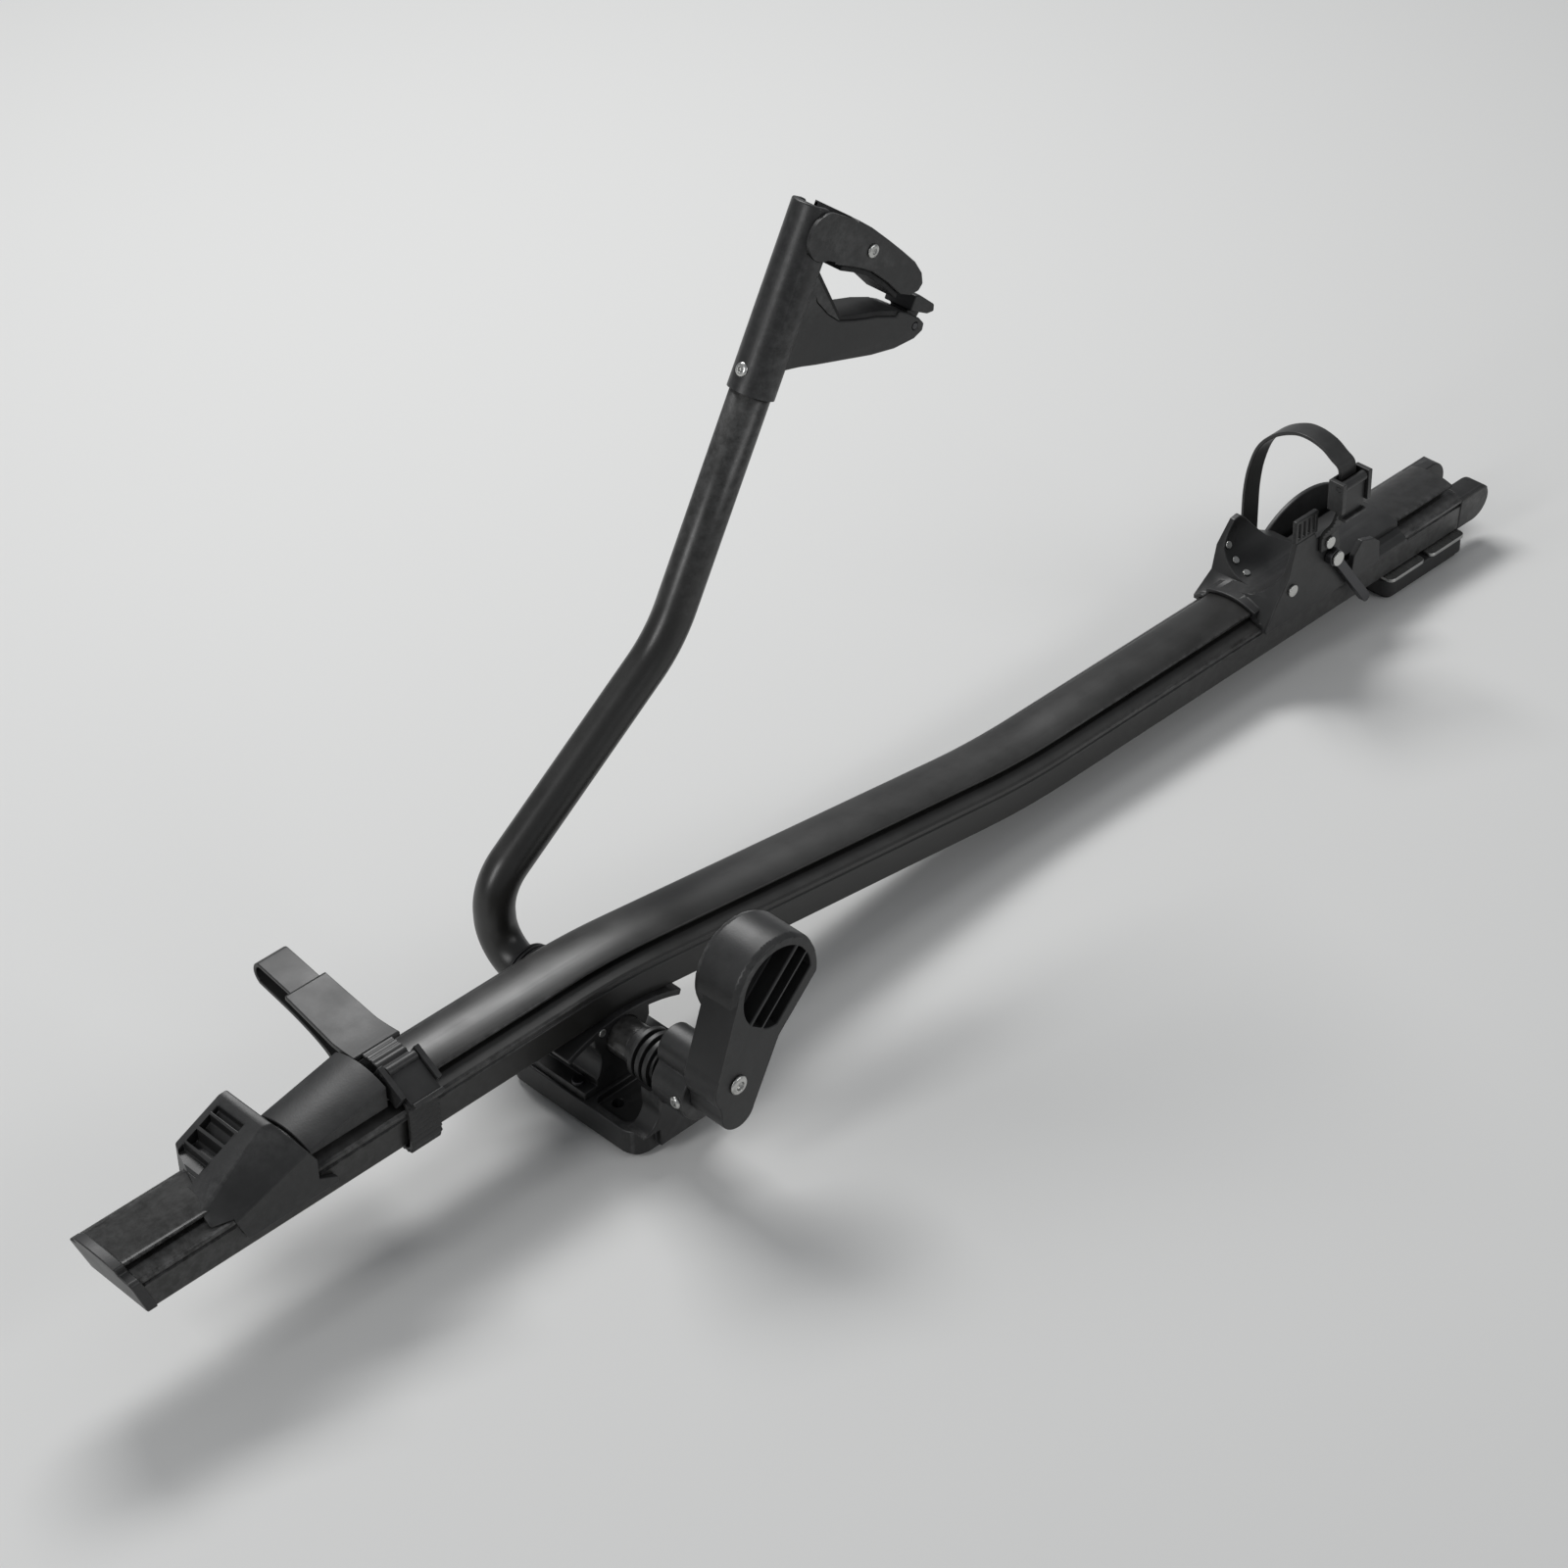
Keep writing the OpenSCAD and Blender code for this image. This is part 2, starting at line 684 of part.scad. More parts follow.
// The arm's whole line at one radius, from the collar into the head
module arm_line(r, extra) {
    rod_y(0, pivot_height, r, tube_start - extra, arm_offset - elbow_r + lap);
    translate([0, arm_offset - elbow_r, pivot_height + elbow_r]) rotate([90, 0, 90]) rotate(-90)
        rotate_extrude(angle = 90, $fn = 96) translate([elbow_r, 0]) circle(r = r - skin);
    arm_run([0, pivot_height + elbow_r], 90, knee_rise - knee_tangent - elbow_r, r);
    arm_bend([knee_r, knee.y - knee_tangent], knee_r, 90 + lower_slope, 180, r);
    arm_run(knee + knee_tangent * lower_dir, lower_slope, lower_length - knee_tangent - crank_tangent, r);
    arm_bend(crank - crank_tangent * lower_dir + crank_r * [-lower_dir.y, lower_dir.x], crank_r,
        lower_slope - 90, upper_slope - 90, r);
    arm_run(crank + crank_tangent * upper_dir, upper_slope, upper_length - crank_tangent + tube_insert + extra, r);
}

module arm_tube() {
    color(anodised) difference() {
        arm_line(tube_r, 0);
        arm_line(tube_r - tube_wall, over);
    }
}

// Places children in the head's frame: X across the sleeve, Z along it
module at_head() {
    translate([head_base.x, arm_offset, head_base.y]) rotate([0, 90 - upper_slope, 0]) children();
}

// Line of the lower jaw's bed, which the rubber lies on
lower_bed = [[17, 72], [32, 65], [46, 61.4], [64, 64], [84, 68.3], [104, 70.6]];
// Line of the upper jaw's edge over the frame tube
upper_edge = [[30, 99], [46, 99.4], [60, 98.4], [80, 93], [97, 86.6]];

// Sleeve with the lower jaw, a fork for the upper jaw's tongue and a fork for the latch
module clamp_head() {
    fork_r = 15;
    slot_x = jaw_pivot[0] - 11;
    jaw_floor = jaw_pivot[1] - 14;
    wall_x = jaw_pivot[0] - 3;
    color(moulded) at_head() difference() {
        union() {
            intersection() {
                cylinder(r = sleeve_r, h = head_height);
                union() {
                    translate([-sleeve_d, -sleeve_d, 0]) cube([2 * sleeve_d, 2 * sleeve_d, jaw_floor]);
                    translate([-sleeve_d, -fork_half, 0]) cube([sleeve_d + wall_x, 2 * fork_half, head_height]);
                    rod_y(jaw_pivot[0], jaw_pivot[1], fork_r, -fork_half, fork_half);
                }
            }
            across_y(jaw_thick) polygon(concat(
                [[0, 84], [0, 20], [14, 24], [38, 28.6], [64, 34.6], [92, 41], [114, 48], [131, 57], [137, 64], [136, 69],
                 [129, 72], [112, 74.3], [105, 74.3]],
                [for (i = [5:-1:0]) lower_bed[i]],
                [[13, 76], [9, 84]]
            ));
        }
        translate([0, 0, -over]) cylinder(r = tube_r, h = tube_insert + lap + over);
        for (side = [0, 1]) mirror([0, side, 0])
            rod_y(jaw_pivot[0], jaw_pivot[1], cover_r + slide_gap, fork_half, sleeve_d);
        translate([slot_x, -tongue_half - slide_gap, jaw_floor])
            cube([sleeve_d, 2 * (tongue_half + slide_gap), head_height]);
        rod_y(jaw_pivot[0], jaw_pivot[1], jaw_pin_r, -sleeve_d, sleeve_d);
        translate([latch_pivot[0] - 10, -latch_half - slide_gap, latch_pivot[1] - 9])
            cube([30, 2 * (latch_half + slide_gap), 30]);
        rod_y(latch_pivot[0], latch_pivot[1], latch_pin_r, -jaw_thick, jaw_thick);
        at_head_screw() cylinder(r = head_screw_r, h = sleeve_d);
    }
}

// Places children on the sleeve's front side, with Z out of the sleeve
module at_head_screw() {
    translate([head_screw_seat - sleeve_r, 0, head_screw_z]) rotate([0, -90, 0]) children();
}

module head_screw() {
    color(steel) at_head() at_head_screw() cylinder(r = head_screw_r, h = head_screw_seat + 1.6);
}

// Rubber of even thickness on a jaw's line
module jaw_rubber(line, shift) {
    width = jaw_thick - 2;
    count = len(line) - 1;
    across_y(width) polygon(concat(line, [for (i = [count:-1:0]) line[i] + [0, shift]]));
}

module lower_pad() {
    color(rubber) at_head() jaw_rubber(lower_bed, jaw_pad);
}

module jaw_pin() {
    color(steel_dark) at_head() rod_y(jaw_pivot[0], jaw_pivot[1], jaw_pin_r, -fork_half, fork_half);
}

// Jaw with a tongue and two round covers on the hinge, and a wide part over the frame tube
module upper_jaw() {
    tongue_r = 10.5;
    wide_x = jaw_pivot[0] + 16.5;
    top = head_height - 1;
    cover_in = fork_half + 0.3;
    color(moulded) at_head() difference() {
        union() {
            rod_y(jaw_pivot[0], jaw_pivot[1], tongue_r, -tongue_half, tongue_half);
            across_y(2 * tongue_half) polygon([
                [jaw_pivot[0], jaw_pivot[1] - 10], [30, jaw_pivot[1] - 12], [30, top - 3],
                [jaw_pivot[0], jaw_pivot[1] + tongue_r]
            ]);
            for (side = [0, 1]) mirror([0, side, 0])
                translate([0, (cover_in + sleeve_r) / 2, 0]) across_y(sleeve_r - cover_in) {
                    translate(jaw_pivot) circle(r = cover_r);
                    polygon([[jaw_pivot[0], 101], [30, 101], [30, 131], [jaw_pivot[0], jaw_pivot[1] + cover_r]]);
                }
            across_y(sleeve_d) polygon(concat(
                [[wide_x, 99.6], [wide_x, top], [28, 131.4], [45, 128], [66, 122], [84, 116.4], [101, 110.6], [112, 104],
                 [117, 97], [115, 91], [108, 87]],
                [for (i = [4:-1:0]) upper_edge[i]]
            ));
        }
        rod_y(jaw_pivot[0], jaw_pivot[1], jaw_pin_r + pin_gap, -cover_in, cover_in);
    }
}

module upper_pad() {
    color(rubber) at_head() jaw_rubber(upper_edge, -jaw_pad);
}

module jaw_screw() {
    color(steel) at_head() rod_y(52, 113, 5, -sleeve_r - 1.5, -sleeve_r);
}

// Thumb catch in the lower jaw's fork
module jaw_latch() {
    leg_r = 6;
    color(moulded) at_head() difference() {
        union() {
            rod_y(latch_pivot[0], latch_pivot[1], leg_r, -latch_half, latch_half);
            across_y(2 * latch_half) polygon([[121, 66], [133, 66], [136, 77], [121, 77]]);
            across_y(jaw_thick - 4) polygon([[119, 75.4], [138, 75.4], [144, 78], [142, 83], [124, 87.4], [119, 86.6]]);
        }
        rod_y(latch_pivot[0], latch_pivot[1], latch_pin_r + pin_gap, -jaw_thick, jaw_thick);
    }
}

module latch_pin() {
    color(steel_dark) at_head() rod_y(latch_pivot[0], latch_pivot[1], latch_pin_r, -jaw_thick / 2, jaw_thick / 2);
}

// Drum with a boss for the lever's pin
module lever_drum() {
    color(moulded) difference() {
        union() {
            rod_y(0, pivot_height, drum_r, drum_near, drum_far);
            rod_y(0, lever_z, drum_boss_r, drum_near, drum_far);
        }
        rod_y(0, pivot_height, spindle_r, drum_near - over, drum_far + over);
        rod_y(0, lever_z, lever_pin_r + pin_gap, drum_near - over, drum_far + over);
        at_drum_rivet() translate([0, 0, -drum_r]) cylinder(r = 4.5, h = drum_r);
    }
}

// Places children on the drum's front side, with Z into the drum
module at_drum_rivet() {
    translate([1 - drum_r, drum_rivet_at[0], drum_rivet_at[1]]) rotate([0, 90, 0]) children();
}

module drum_rivet() {
    color(steel) at_drum_rivet() translate([0, 0, -3]) cylinder(r = 4.5, h = 3);
}

// Ribbed sleeve on the spindle that presses on the barrel
module pressure_ring() {
    ring_far = barrel_near - slide_gap;
    ring_near = ring_far - 27;
    core_r = 15;
    rib_r = 19;
    rib = 4;
    pitch = 7;
    color(moulded) difference() {
        union() {
            rod_y(0, pivot_height, core_r, ring_near, ring_far);
            for (i = [0:2])
                rod_y(0, pivot_height, rib_r, ring_near + 2 + pitch * i, ring_near + 2 + pitch * i + rib);
        }
        rod_y(0, pivot_height, spindle_r + pin_gap, ring_near - over, ring_far + over);
    }
}

module lever_spindle() {
    color(steel_dark) rod_y(0, pivot_height, spindle_r, drum_near, barrel_near - 3);
}

module lever_pin() {
    color(steel_dark) rod_y(0, lever_z, lever_pin_r, lever_near, drum_far - 2);
}

// Paddle with a straight side, a round end, a cam lobe under the pivot and a pocket for the thumb
// with two ribs along the straight side, drawn upright and leant back
module quick_lever() {
    tip_r = lever_width / 2;
    tip = [-3, lever_reach];
    flank = [30, lever_reach + 21];
    waist = [20, lever_reach - 33];
    dome_r = tip_r + 3;
    side_dir = (flank - waist) / norm(flank - waist);
    side_out = [side_dir.y, -side_dir.x];
    border = 8;
    pocket_depth = 13;
    rib = 2.4;
    rib_at = [12, 25];
    pocket_low = waist + [0, 2] - border * side_out;
    color(moulded) translate([0, (lever_near + lever_far) / 2, lever_z]) rotate([0, lever_lean, 0]) difference() {
        union() {
            across_y(lever_thick) {
                circle(lever_hub_r);
                translate(lobe) circle(lobe_r);
                polygon([[-6, -19], lobe + [-9, -11], lobe + [lobe_r, 0], [lever_hub_r, 0]]);
                polygon([[-lever_hub_r, 0], lobe + [lobe_r, 0], waist, flank - [2, 8], tip, tip - [tip_r - 5, 14]]);
            }
            intersection() {
                translate([0, lever_swell / 2, 0]) across_y(lever_thick + lever_swell) intersection() {
                    translate(tip) circle(tip_r, $fn = 96);
                    polygon([[-lever_width, waist.y], waist, flank, flank + [6, lever_width], [-lever_width, 3 * lever_width]]);
                }
                translate([tip.x, lever_swell / 2, tip.y]) sphere(r = dome_r, $fn = 96);
            }
        }
        translate([0, -lever_thick, 0]) across_y(lever_thick + 2 * pocket_depth) difference() {
            intersection() {
                translate(tip) circle(tip_r - border, $fn = 96);
                polygon([pocket_low, pocket_low + 3 * tip_r * side_dir, [-lever_width, 3 * lever_width], [-lever_width, waist.y + 6]]);
            }
            for (at = rib_at)
                translate(pocket_low - at * side_out) rotate(atan2(side_dir.y, side_dir.x) - 90)
                    translate([-rib / 2, -lever_width]) square([rib, 3 * lever_width]);
        }
        rod_y(0, 0, lever_pin_r, -lever_thick, lever_thick);
    }
}

module lever_rivet() {
    color(steel) rod_y(0, lever_z, rivet_r, lever_near - 3, lever_near);
}

// Outline of the tray's cover over the rail, with a tongue in each side slot
module tray_cover() {
    skirt = 24;
    difference() {
        intersection() {
            section_outline(slide_gap + cover_wall);
            translate([-rail_width, -skirt]) square([2 * rail_width, 2 * skirt]);
        }
        section_outline(slide_gap);
    }
    for (side = [0, 1])
        mirror([side, 0]) translate([slot_root + 2, -slot_low + slide_gap])
            square([crown_half + 2 - slot_root, slot_low - slot_top - 2 * slide_gap]);
}

// Scoop with a low far wing and a tall near wing, a long cover on the rail, a pad for the side plate,
// a lug for the bar and a tab behind it
module rear_tray() {
    lug_half = 12;
    skirt = 24;
    pad_from = 92;
    pad_length = 76;
    wall = wing_half - half - slide_gap;
    lug_x = lock_at.x - tray_x;
    lug_z = lock_at.y - rear_crown;
    color(moulded) translate([tray_x, 0, rear_crown]) difference() {
        union() {
            along_x(tray_length) tray_cover();
            difference() {
                union() {
                    translate([0, wing_half / 2, 0]) across_y(wing_half) polygon([
                        [0, -skirt], [scoop_length, -skirt], [scoop_length, 2], [70, wing_rise - 26], [54, wing_rise - 6],
                        [47, wing_rise], [40, wing_rise - 1], [25, wing_rise - 18], [20, 2], [0, -12]
                    ]);
                    translate([0, -wing_half / 2, 0]) across_y(wing_half) polygon([
                        [0, -skirt], [scoop_length, -skirt], [scoop_length, 2], [74, 16], [60, 30], [53, near_rise],
                        [31, near_rise], [23, 24], [11, 7], [0, -12]
                    ]);
                }
                translate([scoop_length / 2, 0, trough_z]) rod_x(trough_r, 2 * scoop_length);
                translate([-over, -trough_r, trough_z]) cube([2 * scoop_length, 2 * trough_r, 2 * near_rise]);
                translate([-over, 0, 0]) along_x(2 * scoop_length) section_outline(slide_gap);
                translate([-over, -half - slide_gap, -2 * rail_height])
                    cube([2 * scoop_length, rail_width + 2 * slide_gap, 2 * rail_height - shoulder_drop - shoulder_r]);
            }
            translate([pad_from, half + slide_gap, -skirt]) cube([pad_length, wall, 10]);
            translate([0, -wing_half + wall / 2, 0]) across_y(wall) {
                polygon([
                    [lug_x - lug_half - 6, -skirt], [lug_x + lug_half, -skirt], [lug_x + lug_half, lug_z + 4],
                    [lug_x + 8, lug_step + 13], [lug_x - 20, lug_step + 13]
                ]);
                polygon([[98, -skirt], [136, -skirt], [134, 5], [127, 11], [112, 16], [103, 6]]);
            }
        }
        rod_y(lug_x, lug_z, lock_pin_r, -rail_width, 0);
    }
}

// Oval plate on the tray's far side
module tray_side() {
    oval_r = 76;
    oval_top = 18;
    oval_low = -22;
    plate = 3.6;
    color(moulded) translate([tray_x + 133, wing_half + plate / 2, rear_crown]) across_y(plate) intersection() {
        translate([0, oval_top - oval_r]) circle(r = oval_r, $fn = 96);
        translate([-oval_r, oval_low]) square([2 * oval_r, oval_r]);
    }
}

// Three rivets up the far side of the trough and a boss on the near wing
module tray_rivets() {
    color(steel) {
        for (a = [18, 42, 66])
            translate([tray_x + 30, 0, rear_crown + trough_z]) rotate([a, 0, 0])
                translate([0, 0, rest_gap - trough_r]) cylinder(r = 3, h = 1.2);
        rod_y(tray_x + 28, rear_crown + 12, 5, -wing_half - 2, -wing_half);
    }
}

// Comb on the near wing that keeps the strap in line
module strap_guide() {
    tooth = 4;
    count = 5;
    pitch = 5.6;
    rise = 20;
    bar = 3;
    length = pitch * (count - 1) + bar;
    color(moulded) translate([tray_x + 42 - length / 2, -wing_half, rear_crown + near_rise]) {
        cube([length, tooth, bar]);
        translate([0, 0, rise - bar]) cube([length, tooth, bar]);
        for (i = [0:count - 1]) translate([pitch * i, 0, 0]) cube([bar, tooth, rise]);
    }
}

module rear_strap() {
    color(strap_black) difference() {
        translate([arch_x - strap_width / 2, 0, 0]) along_x(strap_width) {
            polygon(band(arch_path, strap_thick));
            polygon(band(ladder_path, strap_thick));
            for (i = [1:2]) ladder_ribs(ladder_path[i], ladder_path[i + 1]);
        }
        rod_y(arch_x, strap_rivet_z[0], strap_rivet_r, 0, 2 * wing_half);
        rod_y(arch_x, strap_rivet_z[1], strap_rivet_r, -2 * wing_half, 0);
    }
}

// Rivets with flat heads that hold both ends of the rear strap to the wings
module strap_rivets() {
    strap_face = strap_side + strap_thick / 2;
    head_r = 5;
    color(steel) for (side = [0, 1]) mirror([0, side, 0]) {
        rod_y(arch_x, strap_rivet_z[side], strap_rivet_r, wing_half, strap_face);
        rod_y(arch_x, strap_rivet_z[side], head_r, strap_face, strap_face + 2);
    }
}

module rear_buckle() {
    color(moulded) at_rear_buckle() buckle_frame();
}

module rear_buckle_lever() {
    color(moulded) at_rear_buckle() buckle_flap();
}

// Flat bar on its pin beside the tray
module lock_bar() {
    eye_r = 7;
    bar = [8, 6];
    bar_y = -wing_half - 0.8 - bar[1] / 2;
    color(steel_dark) translate([lock_at.x, bar_y, lock_at.y]) rotate([0, -lock_slope, 0]) difference() {
        across_y(bar[1]) {
            circle(eye_r);
            translate([0, -bar[0] / 2]) square([lock_length, bar[0]]);
            translate([lock_length, 0]) circle(bar[0] / 2);
        }
        rod_y(0, 0, lock_pin_r + pin_gap, -bar[1], bar[1]);
    }
}

module lock_pin() {
    color(steel) {
        rod_y(lock_at.x, lock_at.y, lock_pin_r, -wing_half - 8, -half - slide_gap);
        rod_y(lock_at.x, lock_at.y, 6, -wing_half - 9.2, -wing_half - 7.2);
    }
}

// Bracket under the rail on its pad
module rear_foot() {
    foot_top = rear_floor - slide_gap - foot_plate_thick;
    color(moulded) difference() {
        translate([0, 0, pad_thick]) linear_extrude(foot_top - pad_thick) round_rect(
            rear_foot_x - rear_foot_length / 2, rear_foot_x + rear_foot_length / 2, -foot_half_width, foot_half_width, 8);
        for (side = [-1, 1])
            translate([rear_foot_x + side * foot_bolt_spread / 2, 0, 0]) cylinder(r = foot_bolt_r, h = rail_height);
    }
}

module rear_foot_pad() {
    color(rubber) difference() {
        linear_extrude(pad_thick) round_rect(rear_foot_x - rear_foot_length / 2 + 3, rear_foot_x + rear_foot_length / 2 - 3,
            3 - foot_half_width, foot_half_width - 3, 6);
        for (side = [-1, 1])
            translate([rear_foot_x + side * foot_bolt_spread / 2, 0, -over]) cylinder(r = 7, h = rail_height);
    }
}

// Two steel plates between the bracket and the rail
module rear_foot_plates() {
    plate_half = half + 5.5;
    plate_length = 43;
    plate_top = rear_floor - slide_gap;
    color(steel) for (side = [-1, 1])
        translate([rear_foot_x + side * foot_bolt_spread / 2, 0, plate_top - foot_plate_thick]) difference() {
            linear_extrude(foot_plate_thick) round_rect(-plate_length / 2, plate_length / 2, -plate_half, plate_half, 5);
            translate([0, 0, -over]) cylinder(r = foot_bolt_r, h = foot_plate_thick + 2 * over);
        }
}

// Bolts with square heads in the rail's hollow and nuts in the pad's holes
module rear_foot_bolts() {
    head = 20;
    head_z = rear_floor + floor_wall + slide_gap;
    color(steel_dark) for (side = [-1, 1]) translate([rear_foot_x + side * foot_bolt_spread / 2, 0, 0]) {
        translate([0, 0, 1]) cylinder(r = foot_bolt_r, h = head_z);
        translate([0, 0, 1]) cylinder(r = 6.5, h = pad_thick - 1, $fn = 6);
        translate([-head / 2, -head / 2, head_z]) cube([head, head, 5]);
    }
}

rail();
front_end_cap();
rear_end_cap();
front_chock();
front_ramp();
front_strap();
front_buckle();
front_buckle_lever();
foot_base();
foot_pad();
saddle();
saddle_screws();
saddle_rivet();
pivot_barrel();
pivot_shaft();
arm_collar();
arm_tube();
clamp_head();
head_screw();
lower_pad();
jaw_pin();
upper_jaw();
upper_pad();
jaw_screw();
jaw_latch();
latch_pin();
lever_drum();
drum_rivet();
pressure_ring();
lever_spindle();
lever_pin();
quick_lever();
lever_rivet();
rear_tray();
tray_side();
tray_rivets();
strap_guide();
rear_strap();
strap_rivets();
rear_buckle();
rear_buckle_lever();
lock_bar();
lock_pin();
rear_foot();
rear_foot_pad();
rear_foot_plates();
rear_foot_bolts();
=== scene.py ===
"""Looks of a roof mounted bike carrier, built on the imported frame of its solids."""
import json
import math

import bmesh
import bpy
from mathutils import Matrix, Vector


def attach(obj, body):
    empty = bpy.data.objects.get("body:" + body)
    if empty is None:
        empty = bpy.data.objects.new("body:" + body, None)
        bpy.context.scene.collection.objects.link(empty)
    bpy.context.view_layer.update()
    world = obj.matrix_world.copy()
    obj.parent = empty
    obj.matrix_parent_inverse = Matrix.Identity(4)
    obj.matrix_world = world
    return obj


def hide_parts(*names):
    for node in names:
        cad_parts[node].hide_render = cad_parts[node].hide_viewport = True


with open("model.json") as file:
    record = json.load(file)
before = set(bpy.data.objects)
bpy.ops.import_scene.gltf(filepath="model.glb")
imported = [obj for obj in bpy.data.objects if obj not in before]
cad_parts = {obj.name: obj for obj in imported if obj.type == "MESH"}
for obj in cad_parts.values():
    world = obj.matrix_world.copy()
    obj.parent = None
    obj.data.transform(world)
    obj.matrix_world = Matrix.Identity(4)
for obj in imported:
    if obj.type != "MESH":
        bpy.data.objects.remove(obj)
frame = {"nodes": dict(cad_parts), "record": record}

bl_info = {
    "name": "Roof bike carrier",
    "version": (1, 0, 0),
    "blender": (4, 5, 0),
    "location": "View3D > Sidebar > Carrier",
    "description": "Builds the looks of a roof mounted bike carrier on its solids",
    "category": "Add Mesh",
}

MM = 0.001
RIB_EDGE, PAD_EDGE, BUCKLE_EDGE = 0.7 * MM, 0.8 * MM, 0.6 * MM
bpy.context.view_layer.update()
BODY_OF = {n: b for b, ns in frame["record"]["behaviour"]["bodies"].items() for n in ns}
SLOT_OF = {s["node"]: s["material_slot"] for s in frame["record"]["subparts"]}


class CarrierSizes(bpy.types.PropertyGroup):
    """Sizes of edges and surface grain that a user would change."""

    moulded_edge: bpy.props.FloatProperty(
        name="Moulded edge", description="Radius of the edges of moulded pieces",
        default=0.0011, min=0.0, unit="LENGTH")
    metal_edge: bpy.props.FloatProperty(
        name="Metal edge", description="Radius of the edges of rivets, pins and plates",
        default=0.0005, min=0.0, unit="LENGTH")
    grain_size: bpy.props.FloatProperty(
        name="Grain size", description="Size of one grain of the moulded surface",
        default=0.0011, min=0.0001, unit="LENGTH")


class CarrierColours(bpy.types.PropertyGroup):
    """Colours of the finishes."""

    anodised: bpy.props.FloatVectorProperty(
        name="Rail and tube", description="Satin black of the aluminium",
        default=(0.0165, 0.016, 0.0148), subtype="COLOR")
    moulded: bpy.props.FloatVectorProperty(
        name="Mouldings", description="Black of the moulded pieces",
        default=(0.0165, 0.0165, 0.0165), subtype="COLOR")
    strap: bpy.props.FloatVectorProperty(
        name="Straps", description="Black of the ladder straps",
        default=(0.019, 0.019, 0.0185), subtype="COLOR")
    rubber: bpy.props.FloatVectorProperty(
        name="Rubber", description="Black of pads", default=(0.011, 0.011, 0.011), subtype="COLOR")
    steel: bpy.props.FloatVectorProperty(
        name="Plated steel", description="Colour of rivets and screws",
        default=(0.66, 0.66, 0.64), subtype="COLOR")
    steel_dark: bpy.props.FloatVectorProperty(
        name="Dark steel", description="Colour of pins and of the bar",
        default=(0.10, 0.10, 0.105), subtype="COLOR")
    floor: bpy.props.FloatVectorProperty(
        name="Floor", description="Colour of the studio floor",
        default=(0.71, 0.71, 0.70), subtype="COLOR")


# Shader node groups

def new_group(name, inputs, outputs):
    """A shader node group with named sockets, its input node and its output node."""
    tree = bpy.data.node_groups.new(name, "ShaderNodeTree")
    for socket, kind, value in inputs:
        made = tree.interface.new_socket(name=socket, in_out="INPUT", socket_type=kind)
        made.default_value = value
    for socket, kind in outputs:
        tree.interface.new_socket(name=socket, in_out="OUTPUT", socket_type=kind)
    return tree, tree.nodes.new("NodeGroupInput"), tree.nodes.new("NodeGroupOutput")


def node(tree, kind, values=None, **settings):
    """Adds a node, sets its properties and the values of its sockets."""
    made = tree.nodes.new(kind)
    for key, value in settings.items():
        setattr(made, key, value)
    for key, value in (values or {}).items():
        made.inputs[key].default_value = value
    return made


def math_node(tree, operation, a, b=None, clamp=False):
    """A math node on two sockets or numbers; gives its output."""
    made = tree.nodes.new("ShaderNodeMath")
    made.operation = operation
    made.use_clamp = clamp
    for socket, value in zip(made.inputs, (a, b)):
        if isinstance(value, (int, float)):
            socket.default_value = value
        elif value is not None:
            tree.links.new(value, socket)
    return made.outputs[0]


def mix_colour(tree, factor, a, b):
    """Mixes two colours, given as sockets or values; gives the colour."""
    made = tree.nodes.new("ShaderNodeMix")
    made.data_type = "RGBA"
    for socket, value in ((made.inputs[0], factor), (made.inputs[6], a), (made.inputs[7], b)):
        if hasattr(value, "is_linked"):
            tree.links.new(value, socket)
        else:
            socket.default_value = value
    return made.outputs[2]


def grain_group():
    """Fine leathery grain of a moulded surface, and broad patches of uneven gloss."""
    tree, enter, leave = new_group(
        "Moulded grain", [("Grain size", "NodeSocketFloat", 0.001)],
        [("Height", "NodeSocketFloat"), ("Patches", "NodeSocketFloat")])
    at = node(tree, "ShaderNodeTexCoord").outputs["Object"]
    count = math_node(tree, "DIVIDE", 1.0, enter.outputs["Grain size"])
    cells = node(tree, "ShaderNodeTexVoronoi", feature="SMOOTH_F1",
                 values={"Smoothness": 0.6, "Randomness": 1.0})
    fine = node(tree, "ShaderNodeTexNoise", values={"Detail": 3.0, "Roughness": 0.6})
    broad = node(tree, "ShaderNodeTexNoise", values={"Scale": 26.0, "Detail": 4.0, "Roughness": 0.55})
    for texture in (cells, fine, broad):
        tree.links.new(at, texture.inputs["Vector"])
    tree.links.new(count, cells.inputs["Scale"])
    tree.links.new(math_node(tree, "MULTIPLY", count, 0.45), fine.inputs["Scale"])
    pebbles = math_node(tree, "MULTIPLY", cells.outputs["Distance"], 0.7)
    tree.links.new(math_node(tree, "ADD", pebbles, fine.outputs[0]), leave.inputs["Height"])
    tree.links.new(broad.outputs[0], leave.inputs["Patches"])
    return tree


